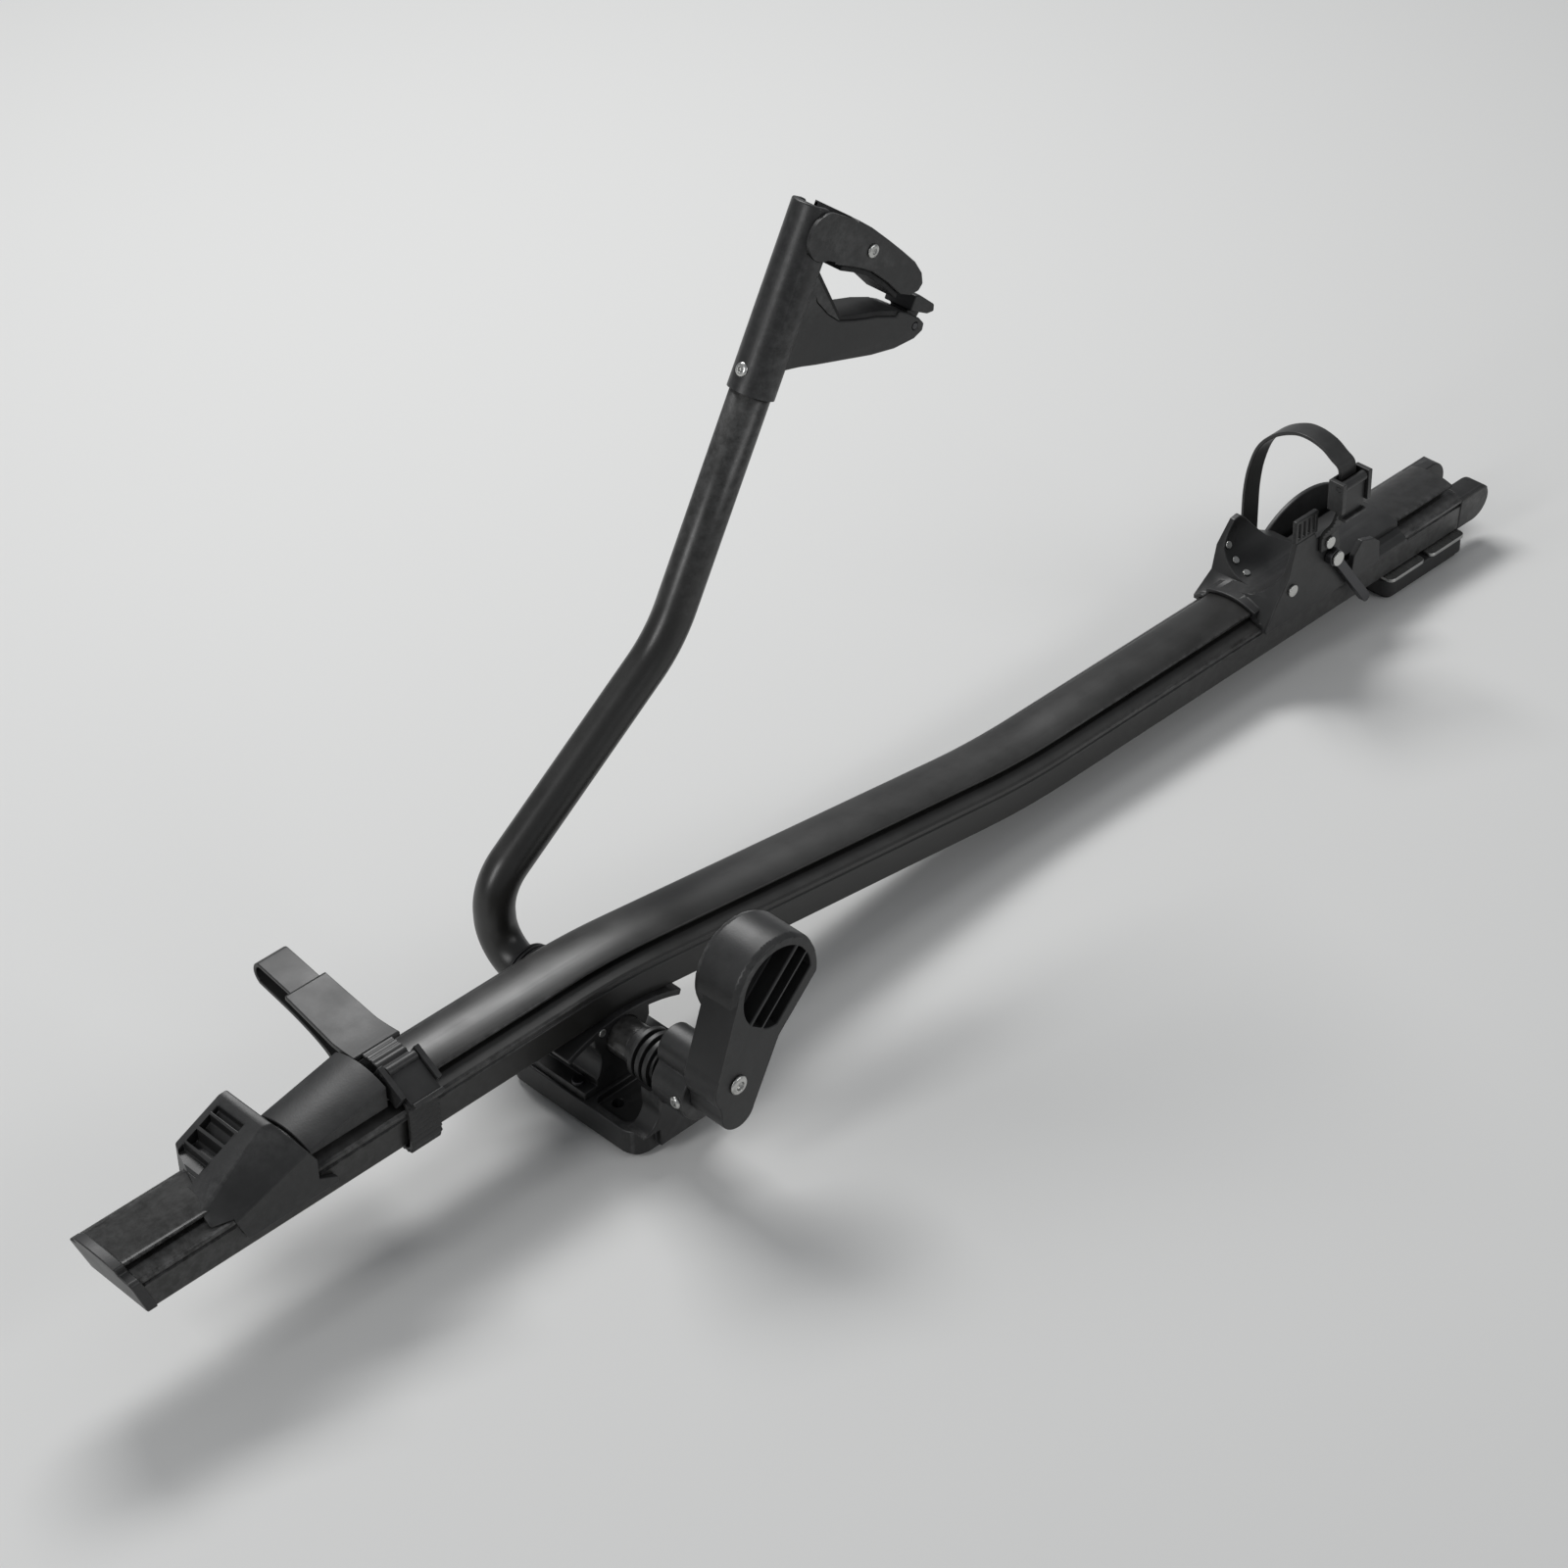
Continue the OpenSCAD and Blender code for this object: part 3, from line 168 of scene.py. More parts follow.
def edge_wear_and_highlight_group():
    """Mask of edges painted lighter, partly as wear and partly as a painted highlight where light would catch
    them, broken up by noise.
    """
    tree, enter, leave = new_group(
        "Edge wear", [("Reach", "NodeSocketFloat", 0.5)], [("Mask", "NodeSocketFloat")])
    at = node(tree, "ShaderNodeTexCoord").outputs["Object"]
    bend = node(tree, "ShaderNodeNewGeometry").outputs["Pointiness"]
    noise = node(tree, "ShaderNodeTexNoise", values={"Scale": 150.0, "Detail": 5.0, "Roughness": 0.7})
    tree.links.new(at, noise.inputs["Vector"])
    ridge = node(tree, "ShaderNodeMapRange", values={"From Min": 0.515, "From Max": 0.60})
    tree.links.new(bend, ridge.inputs["Value"])
    broken = node(tree, "ShaderNodeMapRange", values={"From Min": 0.38, "From Max": 0.68})
    tree.links.new(noise.outputs[0], broken.inputs["Value"])
    both = math_node(tree, "MULTIPLY", ridge.outputs[0], broken.outputs[0])
    mask = math_node(tree, "MULTIPLY", both, enter.outputs["Reach"], clamp=True)
    tree.links.new(mask, leave.inputs["Mask"])
    return tree


def dust_group():
    """Mask of a thin film of dust on faces that look up."""
    tree, enter, leave = new_group(
        "Dust film", [("Amount", "NodeSocketFloat", 0.3)], [("Mask", "NodeSocketFloat")])
    at = node(tree, "ShaderNodeTexCoord").outputs["Object"]
    facing = node(tree, "ShaderNodeSeparateXYZ")
    tree.links.new(node(tree, "ShaderNodeNewGeometry").outputs["Normal"], facing.inputs[0])
    noise = node(tree, "ShaderNodeTexNoise", values={"Scale": 38.0, "Detail": 6.0, "Roughness": 0.62})
    tree.links.new(at, noise.inputs["Vector"])
    upward = node(tree, "ShaderNodeMapRange", values={"From Min": 0.1, "From Max": 1.0})
    tree.links.new(facing.outputs["Z"], upward.inputs["Value"])
    spots = node(tree, "ShaderNodeMapRange", values={"From Min": 0.35, "From Max": 0.75})
    tree.links.new(noise.outputs[0], spots.inputs["Value"])
    film = math_node(tree, "MULTIPLY", upward.outputs[0], spots.outputs[0])
    mask = math_node(tree, "MULTIPLY", film, enter.outputs["Amount"], clamp=True)
    tree.links.new(mask, leave.inputs["Mask"])
    return tree


def draw_group():
    """Faint lines that a die leaves along a drawn or extruded length, with fine pores across it."""
    tree, enter, leave = new_group(
        "Drawn lines", [("Along", "NodeSocketVector", (4.0, 700.0, 700.0))],
        [("Height", "NodeSocketFloat"), ("Streak", "NodeSocketFloat"), ("Patches", "NodeSocketFloat")])
    at = node(tree, "ShaderNodeTexCoord").outputs["Object"]
    stretch = node(tree, "ShaderNodeVectorMath", operation="MULTIPLY")
    tree.links.new(at, stretch.inputs[0])
    tree.links.new(enter.outputs["Along"], stretch.inputs[1])
    lines = node(tree, "ShaderNodeTexNoise", values={"Scale": 1.0, "Detail": 4.0, "Roughness": 0.6})
    tree.links.new(stretch.outputs[0], lines.inputs["Vector"])
    pores = node(tree, "ShaderNodeTexNoise", values={"Scale": 1900.0, "Detail": 2.0})
    broad = node(tree, "ShaderNodeTexNoise", values={"Scale": 9.0, "Detail": 5.0, "Roughness": 0.6})
    for texture in (pores, broad):
        tree.links.new(at, texture.inputs["Vector"])
    height = math_node(tree, "ADD", lines.outputs[0], math_node(tree, "MULTIPLY", pores.outputs[0], 0.55))
    tree.links.new(height, leave.inputs["Height"])
    tree.links.new(lines.outputs[0], leave.inputs["Streak"])
    tree.links.new(broad.outputs[0], leave.inputs["Patches"])
    return tree


GROUPS = {}


def group(make):
    """The node group of one effect, built once."""
    if make.__name__ not in GROUPS:
        GROUPS[make.__name__] = make()
    return GROUPS[make.__name__]


# Finishes

def new_finish(name):
    """An empty material with a Principled shader."""
    material = bpy.data.materials.new(name)
    material.use_nodes = True
    tree = material.node_tree
    shader = tree.nodes["Principled BSDF"]
    return material, tree, shader


def place(tree, make, **values):
    """Places an effect's group in a material with its own values."""
    made = tree.nodes.new("ShaderNodeGroup")
    made.node_tree = group(make)
    for key, value in values.items():
        made.inputs[key.replace("_", " ")].default_value = value
    return made


def span(tree, value, low, high):
    """Maps the middle half of a noise onto a span; gives the output."""
    made = node(tree, "ShaderNodeMapRange",
                values={"From Min": 0.25, "From Max": 0.75, "To Min": low, "To Max": high})
    tree.links.new(value, made.inputs["Value"])
    return made.outputs[0]


def bumped(tree, shader, height, strength, distance):
    """Feeds a height to the shader's normal."""
    bump = node(tree, "ShaderNodeBump", values={"Strength": strength, "Distance": distance})
    tree.links.new(height, bump.inputs["Height"])
    tree.links.new(bump.outputs[0], shader.inputs["Normal"])


PALE_GREY = 0.42


def lighter(colour, share):
    """A colour moved towards a pale grey by a share."""
    return tuple(c + (PALE_GREY - c) * share for c in colour) + (1.0,)


def scaled(colour, factor):
    """A colour made darker or brighter by a factor, with its alpha."""
    return tuple(min(1.0, c * factor) for c in colour) + (1.0,)


def plastic_finish(name, colour, grain, rough, strength):
    """Moulded plastic: grain, slightly uneven gloss, edges painted lighter as wear and as a painted
    highlight, and a film of dust.
    """
    material, tree, shader = new_finish(name)
    surface = place(tree, grain_group, Grain_size=grain)
    wear_and_highlight = place(tree, edge_wear_and_highlight_group, Reach=0.55)
    dust = place(tree, dust_group, Amount=0.28)
    base = mix_colour(tree, surface.outputs["Patches"], scaled(colour, 0.72), scaled(colour, 1.3))
    # Edges lightened towards pale grey: part wear, part painted highlight.
    rubbed_and_highlit = mix_colour(tree, wear_and_highlight.outputs["Mask"], base, lighter(colour, 0.16))
    dusty = mix_colour(tree, dust.outputs["Mask"], rubbed_and_highlit, lighter(colour, 0.12))
    tree.links.new(dusty, shader.inputs["Base Color"])
    gloss = span(tree, surface.outputs["Patches"], rough - 0.05, rough + 0.07)
    worn = math_node(tree, "SUBTRACT", gloss, math_node(tree, "MULTIPLY", wear_and_highlight.outputs["Mask"], 0.12))
    dulled = math_node(tree, "MULTIPLY", dust.outputs["Mask"], 0.25)
    tree.links.new(math_node(tree, "ADD", worn, dulled, clamp=True), shader.inputs["Roughness"])
    bumped(tree, shader, surface.outputs["Height"], strength, 0.00016)
    shader.inputs["Specular IOR Level"].default_value = 0.5
    return material


def anodised_finish(name, colour, along, rough):
    """Black aluminium: die lines, uneven satin gloss, edges painted lighter as wear and as a painted
    highlight, and dust.
    """
    material, tree, shader = new_finish(name)
    surface = place(tree, draw_group, Along=along)
    wear_and_highlight = place(tree, edge_wear_and_highlight_group, Reach=1.0)
    dust = place(tree, dust_group, Amount=0.22)
    base = mix_colour(tree, surface.outputs["Patches"], scaled(colour, 0.78), scaled(colour, 1.25))
    # Edges lightened strongly towards pale grey: part wear, part painted highlight along the rail's lip and
    # edges.
    rubbed_and_highlit = mix_colour(tree, wear_and_highlight.outputs["Mask"], base, lighter(colour, 0.38))
    dusty = mix_colour(tree, dust.outputs["Mask"], rubbed_and_highlit, lighter(colour, 0.1))
    tree.links.new(dusty, shader.inputs["Base Color"])
    gloss = math_node(tree, "ADD", span(tree, surface.outputs["Patches"], rough - 0.04, rough + 0.06),
                      span(tree, surface.outputs["Streak"], -0.04, 0.04))
    dulled = math_node(tree, "MULTIPLY", dust.outputs["Mask"], 0.3)
    tree.links.new(math_node(tree, "ADD", gloss, dulled, clamp=True), shader.inputs["Roughness"])
    bumped(tree, shader, surface.outputs["Height"], 0.10, 0.00012)
    shader.inputs["Specular IOR Level"].default_value = 0.6
    return material


def steel_finish(name, colour, rough):
    """Plated steel: turned lines, uneven gloss and a dull film of dust."""
    material, tree, shader = new_finish(name)
    surface = place(tree, draw_group, Along=(1500.0, 60.0, 1500.0))
    dust = place(tree, dust_group, Amount=0.2)
    dull = scaled(colour, 0.62)
    base = mix_colour(tree, surface.outputs["Patches"], dull, scaled(colour, 1.12))
    tree.links.new(mix_colour(tree, dust.outputs["Mask"], base, dull), shader.inputs["Base Color"])
    gloss = span(tree, surface.outputs["Streak"], rough - 0.07, rough + 0.12)
    tree.links.new(gloss, shader.inputs["Roughness"])
    shader.inputs["Metallic"].default_value = 1.0
    bumped(tree, shader, surface.outputs["Height"], 0.15, 0.0001)
    return material


FINISHES = {}


def finish(slot):
    """The material of one slot, made once from the scene's colours."""
    if slot not in FINISHES:
        colours = bpy.context.scene.carrier_colours
        grain = bpy.context.scene.carrier_sizes.grain_size
        colour = tuple(getattr(colours, slot))
        if slot == "anodised":
            FINISHES[slot] = anodised_finish("Satin black aluminium", colour, (4.0, 700.0, 700.0), 0.34)
        elif slot == "moulded":
            FINISHES[slot] = plastic_finish("Black moulding", colour, grain, 0.41, 0.24)
        elif slot == "strap":
            FINISHES[slot] = plastic_finish("Black strap", colour, grain * 0.6, 0.40, 0.18)
        elif slot == "rubber":
            FINISHES[slot] = plastic_finish("Black rubber", colour, grain * 0.7, 0.78, 0.5)
        elif slot == "steel":
            FINISHES[slot] = steel_finish("Plated steel", colour, 0.28)
        else:
            FINISHES[slot] = steel_finish("Dark steel", colour, 0.38)
    return FINISHES[slot]


# Mesh helpers

SHADING_WEIGHT = 70


def show(name, mesh_data, nodes):
    """Makes a piece of a bmesh, on the body of the nodes it stands for and with their finish."""
    mesh = bpy.data.meshes.new(name)
    bmesh.ops.recalc_face_normals(mesh_data, faces=mesh_data.faces)
    for face in mesh_data.faces:
        face.smooth = True
    mesh_data.to_mesh(mesh)
    mesh_data.free()
    piece = bpy.data.objects.new(name, mesh)
    bpy.context.scene.collection.objects.link(piece)
    slot = SLOT_OF[nodes[0]]
    mesh.materials.append(finish(slot))
    weigh = piece.modifiers.new("Even shading", "WEIGHTED_NORMAL")
    weigh.keep_sharp = True
    weigh.weight = SHADING_WEIGHT
    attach(piece, BODY_OF[nodes[0]])
    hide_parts(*nodes)


KNIFE_ANGLE, CREASE_ANGLE, ROUNDED_ANGLE = math.radians(125), math.radians(40), math.radians(28)
FLAT_ANGLE = math.radians(0.6)
LEAST_FACE = 1e-9
ROUND_STEPS, ROUND_TRIES = 3, 7
# Edges this many widths from a fold are left out, and more of them at each further try
FOLD_REACH, FOLD_GROWTH = 1.2, 0.4


def folds(mesh_data):
    """Middles of the edges along which a mesh folds back on itself."""
    test = mesh_data.copy()
    bmesh.ops.triangulate(test, faces=test.faces[:])
    found = [(e.verts[0].co + e.verts[1].co) / 2 for e in test.edges
             if e.is_manifold and e.calc_face_angle(0) > KNIFE_ANGLE
             and min(f.calc_area() for f in e.link_faces) > LEAST_FACE]
    test.free()
    return found


def far_from(points, ends, reach):
    """Whether no point lies within reach of the straight line between two ends."""
    way = ends[1] - ends[0]
    for point in points:
        share = min(1.0, max(0.0, (point - ends[0]).dot(way) / max(way.length_squared, 1e-18)))
        if (point - ends[0] - way * share).length < reach:
            return False
    return True


def crease(mesh_data):
    """Marks the edges that are left sharp, so that shading doesn't run over them."""
    for edge in mesh_data.edges:
        edge.smooth = not edge.is_manifold or edge.calc_face_angle(0) < CREASE_ANGLE


def round_edges(mesh_data, width):
    """Rounds the sharp edges of a mesh; an edge whose round would fold a face stays a crease."""
    mesh_data.edges.index_update()
    knives = folds(mesh_data)
    ends = {e.index: [v.co.copy() for v in e.verts] for e in mesh_data.edges
            if e.is_manifold and ROUNDED_ANGLE < e.calc_face_angle(0) < KNIFE_ANGLE}
    chosen = [i for i in ends if far_from(knives, ends[i], width)]
    for attempt in range(ROUND_TRIES):
        trial = mesh_data.copy()
        trial.edges.ensure_lookup_table()
        bmesh.ops.bevel(trial, geom=[trial.edges[i] for i in chosen], offset=width, offset_type="OFFSET",
                        segments=ROUND_STEPS, profile=0.5, affect="EDGES", clamp_overlap=False,
                        loop_slide=True)
        bad = [p for p in folds(trial) if all((p - k).length > width for k in knives)]
        if not bad or attempt == ROUND_TRIES - 1:
            break
        trial.free()
        reach = width * (FOLD_REACH + FOLD_GROWTH * attempt)
        chosen = [i for i in chosen if far_from(bad, ends[i], reach)]
    mesh_data.clear()
    spare = bpy.data.meshes.new("spare")
    trial.to_mesh(spare)
    trial.free()
    mesh_data.from_mesh(spare)
    bpy.data.meshes.remove(spare)
    crease(mesh_data)


def solid_of(name):
    """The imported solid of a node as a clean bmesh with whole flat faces."""
    mesh_data = bmesh.new()
    mesh_data.from_mesh(frame["nodes"][name].data)
    bmesh.ops.remove_doubles(mesh_data, verts=mesh_data.verts, dist=2e-6)
    bmesh.ops.dissolve_limit(mesh_data, angle_limit=FLAT_ANGLE, verts=mesh_data.verts, edges=mesh_data.edges)
    return mesh_data


def rounded_node(name, width):
    """A node's own solid with rounded edges, shown in its place."""
    mesh_data = solid_of(name)
    round_edges(mesh_data, width)
    show("rounded_" + name, mesh_data, [name])


def cut_away(mesh_data, inside, planes):
    """Cuts along a region's planes, removes the faces whose middle is inside it and closes the cuts."""
    for point, normal in planes:
        everything = mesh_data.verts[:] + mesh_data.edges[:] + mesh_data.faces[:]
        bmesh.ops.bisect_plane(mesh_data, geom=everything, dist=1e-6, plane_co=point, plane_no=normal)
    gone = [f for f in mesh_data.faces if inside(f.calc_center_median())]
    bmesh.ops.delete(mesh_data, geom=gone, context="FACES")
    loose = [e for e in mesh_data.edges if e.is_boundary]
    bmesh.ops.holes_fill(mesh_data, edges=loose, sides=0)
    bmesh.ops.dissolve_limit(mesh_data, angle_limit=FLAT_ANGLE, verts=mesh_data.verts, edges=mesh_data.edges)


STRAIGHT_ANGLE = math.radians(178)
CORNER_SHARE, CORNER_STEPS = 0.48, 4


def rounded_outline(points):
    """Points of a closed outline with its corners rounded by each point's third number."""
    out = []
    count = len(points)
    for i, point in enumerate(points):
        here = Vector(point[:2])
        reach = point[2]
        back = Vector(points[i - 1][:2]) - here
        ahead = Vector(points[(i + 1) % count][:2]) - here
        angle = back.angle(ahead, math.pi)
        if reach <= 0 or angle > STRAIGHT_ANGLE:
            out.append(here)
            continue
        cut = min(reach / math.tan(angle / 2), CORNER_SHARE * back.length, CORNER_SHARE * ahead.length)
        a = here + back.normalized() * cut
        b = here + ahead.normalized() * cut
        for k in range(CORNER_STEPS + 1):
            t = k / CORNER_STEPS
            out.append(a * (1 - t) ** 2 + here * 2 * t * (1 - t) + b * t * t)
    return out


def loft(rings):
    """A skin through rings of points with the same count, closed at both ends."""
    mesh_data = bmesh.new()
    rows = [[mesh_data.verts.new(p) for p in ring] for ring in rings]
    for near, far in zip(rows, rows[1:]):
        for i in range(len(near)):
            k = (i + 1) % len(near)
            mesh_data.faces.new((near[i], near[k], far[k], far[i]))
    mesh_data.faces.new(rows[0])
    mesh_data.faces.new(list(reversed(rows[-1])))
    bmesh.ops.recalc_face_normals(mesh_data, faces=mesh_data.faces)
    return mesh_data


def joined(parts):
    """One bmesh of several."""
    whole = bmesh.new()
    for part in parts:
        mesh = bpy.data.meshes.new("part")
        part.to_mesh(mesh)
        part.free()
        whole.from_mesh(mesh)
        bpy.data.meshes.remove(mesh)
    return whole


CURVE_STEPS = 24


def smooth_path(points, spacing):
    """Points at even steps on a curve through the given points in a plane."""
    points = [Vector(p) for p in points]
    fine = []
    for i in range(len(points) - 1):
        p0 = points[max(i - 1, 0)]
        p1, p2 = points[i], points[i + 1]
        p3 = points[min(i + 2, len(points) - 1)]
        for k in range(CURVE_STEPS):
            t = k / CURVE_STEPS
            fine.append(0.5 * ((2 * p1) + (p2 - p0) * t + (2 * p0 - 5 * p1 + 4 * p2 - p3) * t * t
                               + (3 * p1 - p0 - 3 * p2 + p3) * t ** 3))
    fine.append(points[-1])
    lengths = [0.0]
    for a, b in zip(fine, fine[1:]):
        lengths.append(lengths[-1] + (b - a).length)
    count = max(2, round(lengths[-1] / spacing))
    out, k = [], 0
    for i in range(count + 1):
        goal = lengths[-1] * i / count
        while k < len(lengths) - 2 and lengths[k + 1] < goal:
            k += 1
        t = (goal - lengths[k]) / max(lengths[k + 1] - lengths[k], 1e-9)
        out.append(fine[k].lerp(fine[k + 1], min(max(t, 0.0), 1.0)))
    return out


# Rail

HALF, CROWN_HALF, CROWN_RISE, HEIGHT = 31.0, 20.5, 3.5, 42.0
CROWN_R = (CROWN_HALF ** 2 + CROWN_RISE ** 2) / (2 * CROWN_RISE)
SLOT_TOP, SLOT_LOW, SLOT_ROOT = 5.5, 9.5, 13.0
SHOULDER, LIP_DEPTH = 12.0, 2.2
FOOT_HALF, MOUTH, FLOOR, CAVITY, CAVITY_TOP = 28.5, 8.0, 3.0, 10.5, 4.0
CROWN, REAR_CROWN, FALL_X, FALL_RUN = 118.0, 63.0, 6.0, 400.0
FRONT_R, REAR_R = 500.0, 600.0
RAIL_X0, RAIL_X1 = -397.0, 905.0
FRONT_RAKE = math.radians(20)
CROWN_STEPS, BEND_STEPS = 8, 14


def rail_side():
    """The right half of the rail's section, from the crown's middle round the outside and back inside.

    Each point has its place across, its height under the crown and the radius of its corner.
    """
    lean = math.asin(CROWN_HALF / CROWN_R)
    turns = [lean * i / CROWN_STEPS for i in range(CROWN_STEPS)]
    crown = [(CROWN_R * math.sin(a), CROWN_R * math.cos(a) - CROWN_R, 0) for a in turns]
    slot = [(CROWN_HALF, -CROWN_RISE, 1.2), (CROWN_HALF, -SLOT_TOP, 0.7), (SLOT_ROOT, -SLOT_TOP, 0.4),
            (SLOT_ROOT, -SLOT_LOW, 0.4), (CROWN_HALF, -SLOT_LOW, 0.9)]
    lip = [(HALF - 2, -SHOULDER, 1.2), (HALF, -SHOULDER - 1.0, 0.9), (HALF, -SHOULDER - 3.6, 0.9),
           (HALF - LIP_DEPTH, -SHOULDER - 4.4, 0.5), (HALF - LIP_DEPTH, -SHOULDER - 6.2, 0.5),
           (HALF - 0.9, -SHOULDER - 7.2, 0.8)]
    foot = [(FOOT_HALF, -HEIGHT, 2.2), (MOUTH, -HEIGHT, 0.6), (MOUTH, FLOOR - HEIGHT, 0.4)]
    inside = [(FOOT_HALF - 2.5, FLOOR - HEIGHT, 0.5), (HALF - 5, -SHOULDER - 6, 0.5),
              (CAVITY, -SHOULDER - 2, 0.5), (CAVITY, -CAVITY_TOP, 0.5)]
    return crown + slot + lip + foot + inside


def rail_section():
    """The rail's whole section in Y and Z, measured down from the crown."""
    right = rail_side()
    left = [(-p[0], p[1], p[2]) for p in reversed(right[1:])]
    return rounded_outline(right + left)


def rail_line():
    """Places along the crown with the rail's slope in radians."""
    slope = math.atan((CROWN - REAR_CROWN) / FALL_RUN)
    front, rear = FRONT_R * math.tan(slope / 2), REAR_R * math.tan(slope / 2)
    line = [(RAIL_X0, CROWN, 0.0)]
    for i in range(BEND_STEPS + 1):
        a = slope * i / BEND_STEPS
        line.append((FALL_X - front + FRONT_R * math.sin(a), CROWN - FRONT_R * (1 - math.cos(a)), a))
    end = FALL_X + FALL_RUN + rear
    for i in range(BEND_STEPS + 1):
        a = slope * (1 - i / BEND_STEPS)
        line.append((end - REAR_R * math.sin(a), REAR_CROWN + REAR_R * (1 - math.cos(a)), a))
    line.append((RAIL_X1, REAR_CROWN, 0.0))
    return line


class CARRIER_OT_rail(bpy.types.Operator):
    """Bends the extruded rail along its line and closes its ends"""

    bl_idname = "carrier.rail"
    bl_label = "Rail and end caps"

    def execute(self, context):
        section = rail_section()
        rings = []
        for x, z, slope in rail_line():
            down = Vector((math.sin(slope), 0.0, math.cos(slope)))
            rings.append([(Vector((x, p.x, z)) + down * p.y) * MM for p in section])
            for p, q in zip(rings[-1], section):
                p.y = q.x * MM
        for p, q in zip(rings[0], section):
            p.x -= q.y * math.tan(FRONT_RAKE) * MM
        show("rail_bar", loft(rings), ["rail"])
        for name in ("front_end_cap", "rear_end_cap"):
            rounded_node(name, context.scene.carrier_sizes.moulded_edge)
        return {"FINISHED"}


# Arm

ARM_PLANE, PIVOT_Z, COLLAR_Y = 92.0, 60.0, 56.0
TUBE_R, TUBE_SIDES = 14.6, 64
LOW_SLOPE, HIGH_SLOPE = math.radians(35.5), math.radians(60.5)
LOW_LENGTH, HIGH_LENGTH, SLEEVE_DEPTH = 205.0, 180.0, 78.0
ELBOW_R, KNEE_R, CRANK_R = 30.0, 40.0, 110.0
ELBOW_STEPS, CRANK_STEPS = 16, 12
# Corners of the arm's middle line in X and Z
LOW_WAY = Vector((math.cos(LOW_SLOPE), math.sin(LOW_SLOPE)))
HIGH_WAY = Vector((math.cos(HIGH_SLOPE), math.sin(HIGH_SLOPE)))
KNEE = Vector((0.0, 116.0))
CRANK = KNEE + LOW_LENGTH * LOW_WAY
HEAD_BASE = CRANK + HIGH_LENGTH * HIGH_WAY


def arm_line():
    """Points of the arm's middle line, in metres, from the collar into the head."""
    points = [Vector((0.0, COLLAR_Y, PIVOT_Z))]
    for i in range(ELBOW_STEPS + 1):
        a = math.pi / 2 * i / ELBOW_STEPS
        points.append(Vector((0.0, ARM_PLANE - ELBOW_R + ELBOW_R * math.sin(a),
                              PIVOT_Z + ELBOW_R - ELBOW_R * math.cos(a))))
    reach = KNEE_R * math.tan((math.pi / 2 - LOW_SLOPE) / 2)
    for i in range(CRANK_STEPS + 1):
        a = math.pi - (math.pi / 2 - LOW_SLOPE) * i / CRANK_STEPS
        points.append(Vector((KNEE_R + KNEE_R * math.cos(a), ARM_PLANE,
                              KNEE.y - reach + KNEE_R * math.sin(a))))
    reach = CRANK_R * math.tan((HIGH_SLOPE - LOW_SLOPE) / 2)
    middle = CRANK - reach * LOW_WAY + CRANK_R * Vector((-LOW_WAY.y, LOW_WAY.x))
    for i in range(CRANK_STEPS + 1):
        a = LOW_SLOPE - math.pi / 2 + (HIGH_SLOPE - LOW_SLOPE) * i / CRANK_STEPS
        points.append(Vector((middle.x + CRANK_R * math.cos(a), ARM_PLANE,
                              middle.y + CRANK_R * math.sin(a))))
    end = HEAD_BASE + SLEEVE_DEPTH * HIGH_WAY
    points.append(Vector((end.x, ARM_PLANE, end.y)))
    return [p * MM for p in points]


def head_point(across, along, y):
    """A point of the clamp head's own frame, across and along its sleeve, in metres."""
    spot = HEAD_BASE + across * Vector((HIGH_WAY.y, -HIGH_WAY.x)) + along * HIGH_WAY
    return Vector((spot.x, y, spot.y)) * MM


def tube_along(points, radius, sides):
    """A round tube along points, with a frame carried from ring to ring."""
    rings = []
    side = Vector((1.0, 0.0, 0.0))
    for i, point in enumerate(points):
        way = (points[min(i + 1, len(points) - 1)] - points[max(i - 1, 0)]).normalized()
        side = (side - way * side.dot(way)).normalized()
        up = way.cross(side)
        rings.append([point + (side * math.cos(a) + up * math.sin(a)) * radius
                      for a in (2 * math.pi * k / sides for k in range(sides))])
    return loft(rings)


class CARRIER_OT_arm(bpy.types.Operator):
    """Bends the arm's tube and sets its collar on the pivot"""

    bl_idname = "carrier.arm"
    bl_label = "Arm tube and collar"

    def execute(self, context):
        show("arm_bent_tube", tube_along(arm_line(), TUBE_R * MM, TUBE_SIDES), ["arm_tube"])
        rounded_node("arm_collar", RIB_EDGE)
        return {"FINISHED"}


# Clamp head: outlines run across and along its sleeve

HEAD_SOFTNESS = 1.5
JAW_HALF, PAD_HALF = 15.0, 14.0
HINGE_EDGE, FORK_SIDE = 18.5, 11.0
JAW_BED = [(17, 72), (32, 65), (46, 61.4), (64, 64), (84, 68.3), (104, 70.6)]
JAW_CORNER = [(6, 90.5)] + JAW_BED[2::-1] + [(13, 76), (9, 84), (6, 86)]
LOWER_PAD = JAW_BED[:1:-1] + [(6, 90.5), (8, 93.4), (46.5, 64.6), (64, 68), (84, 72.3), (104, 74.6)]


def head_block(outline, half):
    """A block of the clamp head, from an outline across and along the sleeve and half its thickness."""
    return loft([[head_point(across, along, y) for across, along in outline]
                 for y in (ARM_PLANE - half, ARM_PLANE + half)])


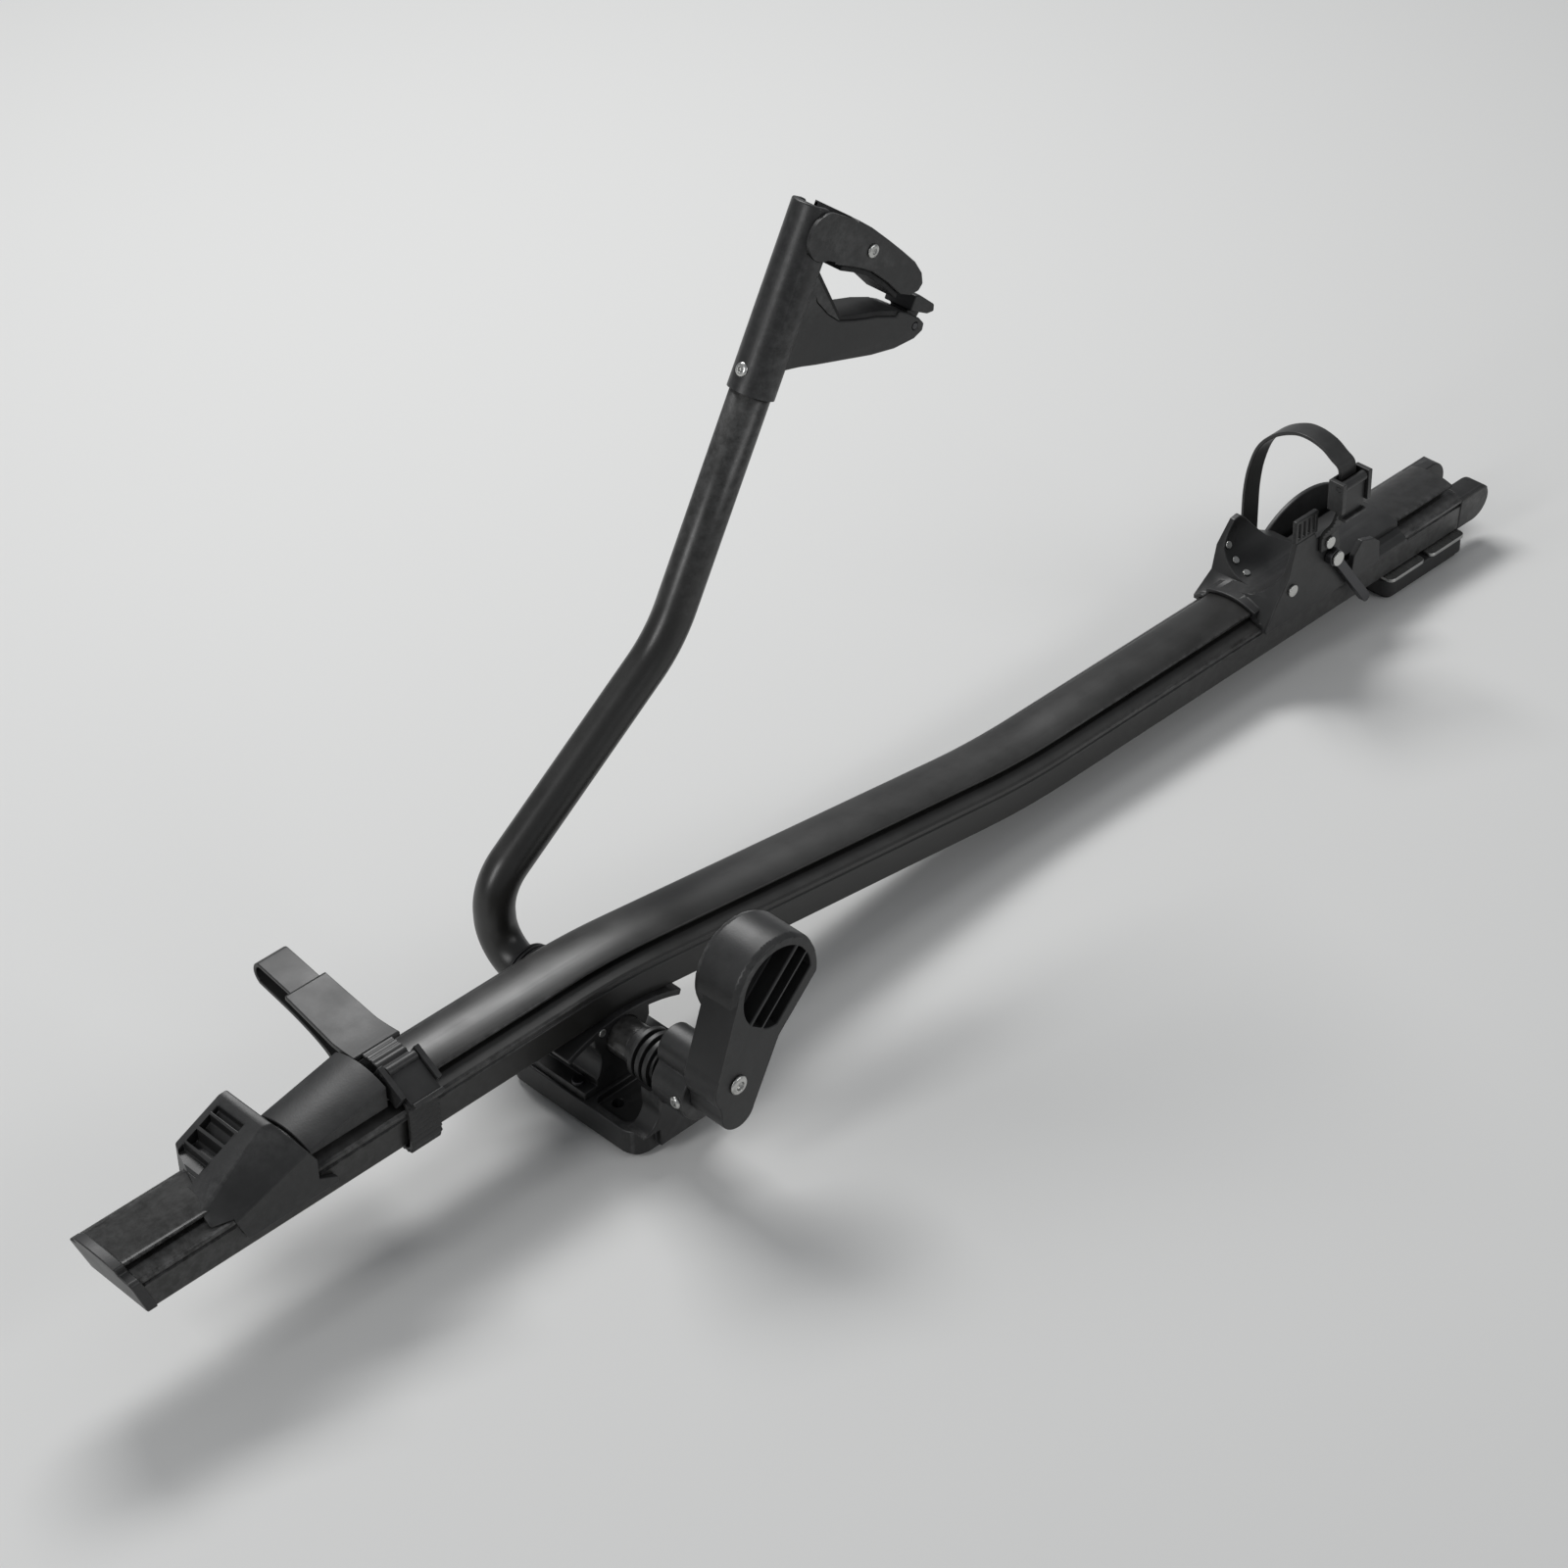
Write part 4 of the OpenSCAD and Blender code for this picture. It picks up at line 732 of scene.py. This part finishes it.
class CARRIER_OT_head(bpy.types.Operator):
    """Makes the clamp head, the jaw, their pads and the latch"""

    bl_idname = "carrier.head"
    bl_label = "Clamp head"

    def execute(self, context):
        edge = context.scene.carrier_sizes.moulded_edge
        head = solid_of("clamp_head")
        round_edges(head, edge * HEAD_SOFTNESS)
        corner = head_block(JAW_CORNER, JAW_HALF)
        crease(corner)
        show("rounded_clamp_head", joined([head, corner]), ["clamp_head"])
        rounded_node("jaw_latch", edge)
        across = head_point(1.0, 0.0, 0.0) - head_point(0.0, 0.0, 0.0)
        hinge_edge = head_point(HINGE_EDGE, 0.0, 0.0)
        fork_side = head_point(0.0, 0.0, ARM_PLANE + FORK_SIDE)
        jaw = solid_of("upper_jaw")
        cut_away(jaw, lambda p: p.y > fork_side.y and (p - hinge_edge).dot(across) < -1e-9,
                 [(fork_side, (0.0, 1.0, 0.0)), (hinge_edge, across)])
        round_edges(jaw, edge * HEAD_SOFTNESS)
        show("rounded_upper_jaw", jaw, ["upper_jaw"])
        pad = head_block(LOWER_PAD, PAD_HALF)
        round_edges(pad, PAD_EDGE)
        show("rounded_lower_pad", pad, ["lower_pad"])
        rounded_node("upper_pad", PAD_EDGE)
        return {"FINISHED"}


# Front foot, lever and wheel holders

HOLDER_SOFTNESS, HEM_DROP = 0.8, 3.0


class CARRIER_OT_foot(bpy.types.Operator):
    """Makes the front foot with its pad, saddle and pivot barrel"""

    bl_idname = "carrier.foot"
    bl_label = "Front foot"

    def execute(self, context):
        edge = context.scene.carrier_sizes.moulded_edge
        for name in ("foot_base", "saddle", "foot_pad"):
            rounded_node(name, edge)
        rounded_node("pivot_barrel", context.scene.carrier_sizes.metal_edge)
        return {"FINISHED"}


class CARRIER_OT_lever(bpy.types.Operator):
    """Makes the quick lever, its drum and the pressure ring"""

    bl_idname = "carrier.lever"
    bl_label = "Lever"

    def execute(self, context):
        edge = context.scene.carrier_sizes.moulded_edge
        rounded_node("quick_lever", edge)
        rounded_node("lever_drum", edge)
        rounded_node("pressure_ring", RIB_EDGE)
        return {"FINISHED"}


class CARRIER_OT_wheel_holders(bpy.types.Operator):
    """Makes the chock, the ramp and the rear tray with its side plate and guide"""

    bl_idname = "carrier.wheel_holders"
    bl_label = "Wheel holders"

    def execute(self, context):
        edge = context.scene.carrier_sizes.moulded_edge
        for name in ("front_chock", "front_ramp", "tray_side", "strap_guide"):
            rounded_node(name, edge * HOLDER_SOFTNESS)
        hem = (REAR_CROWN - SHOULDER - HEM_DROP) * MM
        tray = solid_of("rear_tray")
        cut_away(tray, lambda p: p.z < hem, [(Vector((0.0, 0.0, hem)), (0.0, 0.0, 1.0))])
        round_edges(tray, edge * HOLDER_SOFTNESS)
        show("rounded_rear_tray", tray, ["rear_tray"])
        return {"FINISHED"}


# Straps

STRAP_X, ARCH_X = -170.0, 726.0
STRAP_WIDTH, STRAP_THICK = 25.0, 3.0
REAR_STRAP_WIDTH = 18.0
TOOTH_RISE, TOOTH_STEP, TOOTH_PITCH = 0.9, 1.4, 3
# Spans of a strap that carry teeth, as shares of its length
FRONT_TEETH, LADDER_TEETH = [(0.02, 0.14), (0.62, 0.99)], [(0.2, 0.8)]
BAND_CORNER, BAND_CORNER_STEPS = 0.8, 3
STRAP_BASE, STRAP_LOW, STRAP_FAR = 122.0, 74.1, 34.0
LOOP_REACH, LOOP_R, LOOP_DRIFT, CORNER_R = 122.0, 7.5, 0.09, 6.0
SLEEVE_WIDTH, SLEEVE_TAPER, SLEEVE_THICK = 38.0, 4.0, STRAP_THICK + 0.8
SLEEVE_LIFT, SLEEVE_END, SLEEVE_END_LIFT = 0.4, 86.0, 0.15
STRAP_SIDE, BUCKLE_Y, BUCKLE_Z = 38.4, -52.0, 157.0
ARCH_TOP = REAR_CROWN + 127.0


def bend(centre, radius, start, end, steps):
    """Points on an arc in a plane, angles in degrees."""
    turns = [math.radians(start + (end - start) * i / steps) for i in range(steps + 1)]
    return [(centre[0] + radius * math.cos(a), centre[1] + radius * math.sin(a)) for a in turns]


def front_strap_line():
    """The front strap's middle line in Y and Z, from the buckle round the loop, under the rail and back."""
    top = STRAP_BASE
    over = [(-17.3, top - 0.4), (-7.1, top + 5.9), (-1.5, top + 7.8), (8, top + 7.8), (26, top + 7),
            (52, top + 8.4), (90, top + 10.6)]
    back = [(88, top - 5.6), (60, top - 10), (44, top - 16), (STRAP_FAR + 1, top - 26), (STRAP_FAR, top - 36)]
    near = [(-STRAP_FAR, top - 19), (-STRAP_FAR + 0.4, top - 13.5), (-STRAP_FAR + 2.3, top - 9.3),
            (-26.5, top - 6.2), (-22.4, top - 3.6)]
    loop = bend((LOOP_REACH, top + 4), LOOP_R, 90, -90, 8)
    far_corner = bend((STRAP_FAR - CORNER_R, STRAP_LOW + CORNER_R), CORNER_R, 0, -90, 4)
    near_corner = bend((CORNER_R - STRAP_FAR, STRAP_LOW + CORNER_R), CORNER_R, -90, -180, 4)
    return over + loop + back + far_corner + near_corner + near


def arch_line():
    """The rear strap's arch in Y and Z, from the far wing into the buckle."""
    low = REAR_CROWN
    far = [(STRAP_SIDE, low + 3), (STRAP_SIDE, low + 32), (STRAP_SIDE - 0.6, low + 55),
           (STRAP_SIDE - 4, low + 77), (STRAP_SIDE - 12, low + 99)]
    top = [(12, low + 115), (-6, ARCH_TOP - 2), (-20, ARCH_TOP), (-34, ARCH_TOP - 3), (-44, ARCH_TOP - 9)]
    return far + top + [(BUCKLE_Y + 1.6, BUCKLE_Z + 20), (BUCKLE_Y, BUCKLE_Z + 14), (BUCKLE_Y, BUCKLE_Z + 3)]


def ladder_line():
    """The rear strap's ladder in Y and Z, from the buckle down to the near wing."""
    low = REAR_CROWN
    return [(BUCKLE_Y, BUCKLE_Z - 3), (BUCKLE_Y, BUCKLE_Z - 16), (BUCKLE_Y + 4, low + 63),
            (-STRAP_SIDE - 2.4, low + 52), (-STRAP_SIDE, low + 45), (-STRAP_SIDE, low + 33)]


def band_ring(at, way, x, width, inner, outer, side):
    """One section of a band across X: a rectangle with round corners between an inner and an outer height."""
    out = Vector((-way.y, way.x)) * side
    corner = min(BAND_CORNER, (inner + outer) * 0.4)
    half = width / 2
    ring = []
    for a, h in ((half, outer), (-half, outer), (-half, -inner), (half, -inner)):
        for k in range(BAND_CORNER_STEPS + 1):
            turn = math.pi / 2 * k / BAND_CORNER_STEPS
            u, v = 1 - math.cos(turn), 1 - math.sin(turn)
            if (a > 0) != (h > 0):
                u, v = v, u
            ring.append((a - math.copysign(corner * u, a), h - math.copysign(corner * v, h)))
    return [Vector((x + a, at.x + out.x * h, at.y + out.y * h)) * MM for a, h in ring]


def ladder_band(line, x, width, thick, side, teeth, drift=0.0):
    """A smooth band along a line, with teeth on its outer side between pairs of shares of its length.

    The drift moves the band along X by a share of how far it reaches over the far side of the rail.
    """
    path = smooth_path(line, TOOTH_STEP)
    rings = []
    for i, at in enumerate(path):
        way = (path[min(i + 1, len(path) - 1)] - path[max(i - 1, 0)]).normalized()
        share = i / (len(path) - 1)
        toothed = any(a <= share <= b for a, b in teeth)
        rise = TOOTH_RISE if toothed and i % TOOTH_PITCH == 1 else 0.0
        wide = width(share) if callable(width) else width
        moved = x + drift * max(0.0, at.x - HALF)
        rings.append(band_ring(at, way, moved, wide, thick / 2, thick / 2 + rise, side))
    return loft(rings)


class CARRIER_OT_straps(bpy.types.Operator):
    """Sweeps the ladder straps along their lines and sets their buckles"""

    bl_idname = "carrier.straps"
    bl_label = "Straps and buckles"

    def execute(self, context):
        line = front_strap_line()
        strap = ladder_band(line, STRAP_X, STRAP_WIDTH, STRAP_THICK, 1, FRONT_TEETH, LOOP_DRIFT)
        over = [(y, z + SLEEVE_LIFT) for y, z in line[3:6]] + [(SLEEVE_END, line[6][1] + SLEEVE_END_LIFT)]
        sleeve = ladder_band(over, STRAP_X, lambda share: SLEEVE_WIDTH - SLEEVE_TAPER * share,
                             SLEEVE_THICK, 1, [], LOOP_DRIFT)
        show("front_strap_band", joined([strap, sleeve]), ["front_strap"])
        arch = ladder_band(arch_line(), ARCH_X, REAR_STRAP_WIDTH, STRAP_THICK, -1, [])
        ladder = ladder_band(ladder_line(), ARCH_X, REAR_STRAP_WIDTH, STRAP_THICK, -1, LADDER_TEETH)
        show("rear_strap_band", joined([arch, ladder]), ["rear_strap"])
        for name in ("front_buckle", "rear_buckle", "front_buckle_lever", "rear_buckle_lever"):
            rounded_node(name, BUCKLE_EDGE)
        return {"FINISHED"}


# Rear foot

class CARRIER_OT_rear_foot(bpy.types.Operator):
    """Makes the rear foot with its pad, plates and bolts"""

    bl_idname = "carrier.rear_foot"
    bl_label = "Rear foot"

    def execute(self, context):
        sizes = context.scene.carrier_sizes
        rounded_node("rear_foot", sizes.moulded_edge)
        rounded_node("rear_foot_pad", sizes.moulded_edge)
        for name in ("rear_foot_plates", "rear_foot_bolts"):
            rounded_node(name, sizes.metal_edge)
        return {"FINISHED"}


# Fasteners

HEAD_SIDES, SOCKET_SHARE = 48, 0.46


def turned_head(name, base, way, radius, rise, sides):
    """A domed screw or rivet head on a base point, with a socket of so many sides or a round dimple."""
    way = Vector(way).normalized()
    side = way.orthogonal().normalized()
    up = way.cross(side)
    socket = radius * SOCKET_SHARE
    dome = [(radius, 0.0), (radius, 0.40), (radius * 0.97, 0.58), (radius * 0.9, 0.74), (radius * 0.76, 0.9),
            (radius * 0.6, 1.0)]
    hollow = [(socket * 1.08, 1.0), (socket, 0.9), (socket * 0.96, 0.35), (socket * 0.6, 0.3),
              (socket * 0.2, 0.3)]
    rings = []
    for k, (reach, height) in enumerate(dome + hollow):
        ring = []
        for i in range(HEAD_SIDES):
            a = 2 * math.pi * i / HEAD_SIDES
            r = reach
            if sides and k >= len(dome):
                half = math.pi / sides
                r = reach * math.cos(half) / math.cos((a % (2 * half)) - half)
            ring.append(Vector(base) + way * rise * height + (side * math.cos(a) + up * math.sin(a)) * r)
        rings.append(ring)
    show("turned_" + name, loft(rings), [name])


HEAD_SCREW, JAW_SCREW = (-16.0, 15.0, ARM_PLANE), (52.0, 113.0, ARM_PLANE - 17.0)
DRUM_RIVET, LEVER_RIVET = Vector((-21.0, -109.0, 60.0)), Vector((0.0, -145.6, 84.0))
SIX_SIDES, ROUND_DIMPLE = 6, 0


class CARRIER_OT_fasteners(bpy.types.Operator):
    """Makes the screws, rivets, pins and the locking bar"""

    bl_idname = "carrier.fasteners"
    bl_label = "Screws, rivets and pins"

    def execute(self, context):
        edge = context.scene.carrier_sizes.metal_edge
        near = (0.0, -1.0, 0.0)
        out = head_point(-1.0, 0.0, 0.0) - head_point(0.0, 0.0, 0.0)
        turned_head("head_screw", head_point(*HEAD_SCREW), out, 5.0 * MM, 2.6 * MM, SIX_SIDES)
        turned_head("jaw_screw", head_point(*JAW_SCREW), near, 5.0 * MM, 1.9 * MM, SIX_SIDES)
        turned_head("drum_rivet", DRUM_RIVET * MM, (-1.0, 0.0, 0.0), 4.5 * MM, 3.2 * MM, SIX_SIDES)
        turned_head("lever_rivet", LEVER_RIVET * MM, near, 7.0 * MM, 3.0 * MM, ROUND_DIMPLE)
        for name in ("saddle_screws", "saddle_rivet", "tray_rivets", "strap_rivets", "pivot_shaft", "jaw_pin",
                     "latch_pin", "lever_spindle", "lever_pin", "lock_bar", "lock_pin"):
            rounded_node(name, edge)
        return {"FINISHED"}


# Stage

PHOTO_PIXELS = 1600
FOCAL_PIXELS = 4129.2
CAMERA_AT = (-1.3230, -1.5998, 1.8236)
CAMERA_TURN, CAMERA_DIP, CAMERA_ROLL = 0.7567, 0.6508, 0.033
FLOOR_REACH = 9.0
AIR_COLOUR, AIR_STRENGTH = (0.93, 0.96, 1.0, 1.0), 0.24
# Each lamp's name, place, aim, size and power
LAMPS = (
    ("over_lamp", (0.9, 1.5, 2.2), (0.25, 0.0, 0.1), (1.7, 0.7), 46.0),
    ("left_lamp", (-2.3, 0.2, 1.7), (0.1, 0.0, 0.1), (0.5, 1.6), 22.0),
    ("right_lamp", (1.2, -2.4, 1.5), (0.3, 0.0, 0.1), (1.8, 0.6), 13.0),
)


def area_lamp(name, at, aim, size, power):
    """A soft oblong lamp that looks at a point."""
    data = bpy.data.lights.new(name, "AREA")
    data.shape = "RECTANGLE"
    data.size, data.size_y = size
    data.energy = power
    lamp = bpy.data.objects.new(name, data)
    bpy.context.scene.collection.objects.link(lamp)
    lamp.location = at
    lamp.rotation_euler = (Vector(aim) - Vector(at)).to_track_quat("-Z", "Y").to_euler()


class CARRIER_OT_stage(bpy.types.Operator):
    """Sets the floor, the soft lamps and the camera"""

    bl_idname = "carrier.stage"
    bl_label = "Stage"

    def execute(self, context):
        scene = context.scene
        mesh = bpy.data.meshes.new("studio_floor")
        far = FLOOR_REACH
        mesh.from_pydata([(-far, -far, 0), (far, -far, 0), (far, far, 0), (-far, far, 0)], [], [(0, 1, 2, 3)])
        floor = bpy.data.objects.new("studio_floor", mesh)
        scene.collection.objects.link(floor)
        material, tree, shader = new_finish("Studio floor")
        pale = tuple(scene.carrier_colours.floor)
        noise = node(tree, "ShaderNodeTexNoise", values={"Scale": 3.0, "Detail": 6.0})
        tint = mix_colour(tree, noise.outputs[0], scaled(pale, 0.985), scaled(pale, 1.01))
        tree.links.new(tint, shader.inputs["Base Color"])
        shader.inputs["Roughness"].default_value = 0.7
        mesh.materials.append(material)
        world = bpy.data.worlds.new("Studio air")
        world.use_nodes = True
        air = world.node_tree.nodes["Background"]
        air.inputs["Color"].default_value = AIR_COLOUR
        air.inputs["Strength"].default_value = AIR_STRENGTH
        scene.world = world
        for lamp in LAMPS:
            area_lamp(*lamp)
        data = bpy.data.cameras.new("photo_camera")
        data.sensor_width = 36.0
        data.lens = FOCAL_PIXELS * data.sensor_width / PHOTO_PIXELS
        camera = bpy.data.objects.new("photo_camera", data)
        scene.collection.objects.link(camera)
        scene.camera = camera
        turn, dip = CAMERA_TURN, CAMERA_DIP
        ahead = Vector((math.cos(dip) * math.sin(turn), math.cos(dip) * math.cos(turn), -math.sin(dip)))
        right = Vector((math.cos(turn), -math.sin(turn), 0.0))
        down = ahead.cross(right)
        c, s = math.cos(CAMERA_ROLL), math.sin(CAMERA_ROLL)
        right, down = right * c + down * s, down * c - right * s
        placed = Matrix((right, -down, -ahead)).transposed().to_4x4()
        placed.translation = CAMERA_AT
        camera.matrix_world = placed
        scene.view_settings.view_transform = "Standard"
        return {"FINISHED"}


class CARRIER_PT_panel(bpy.types.Panel):
    """Lists the carrier's sizes, colours and pieces"""

    bl_label = "Roof bike carrier"
    bl_idname = "CARRIER_PT_panel"
    bl_space_type = "VIEW_3D"
    bl_region_type = "UI"
    bl_category = "Carrier"

    def draw(self, context):
        for settings in (context.scene.carrier_sizes, context.scene.carrier_colours):
            box = self.layout.box()
            for key in settings.__annotations__:
                box.prop(settings, key)
        for operator in OPERATORS:
            self.layout.operator(operator.bl_idname)


OPERATORS = (
    CARRIER_OT_stage, CARRIER_OT_rail, CARRIER_OT_arm, CARRIER_OT_head, CARRIER_OT_foot, CARRIER_OT_lever,
    CARRIER_OT_wheel_holders, CARRIER_OT_straps, CARRIER_OT_rear_foot, CARRIER_OT_fasteners)
CLASSES = (CarrierSizes, CarrierColours) + OPERATORS + (CARRIER_PT_panel,)


def register():
    for kind in CLASSES:
        bpy.utils.register_class(kind)
    bpy.types.Scene.carrier_sizes = bpy.props.PointerProperty(type=CarrierSizes)
    bpy.types.Scene.carrier_colours = bpy.props.PointerProperty(type=CarrierColours)


def unregister():
    del bpy.types.Scene.carrier_colours
    del bpy.types.Scene.carrier_sizes
    for kind in reversed(CLASSES):
        bpy.utils.unregister_class(kind)


def main():
    register()
    for operator in OPERATORS:
        family, name = operator.bl_idname.split(".")
        getattr(getattr(bpy.ops, family), name)()


if __name__ == "__main__":
    main()
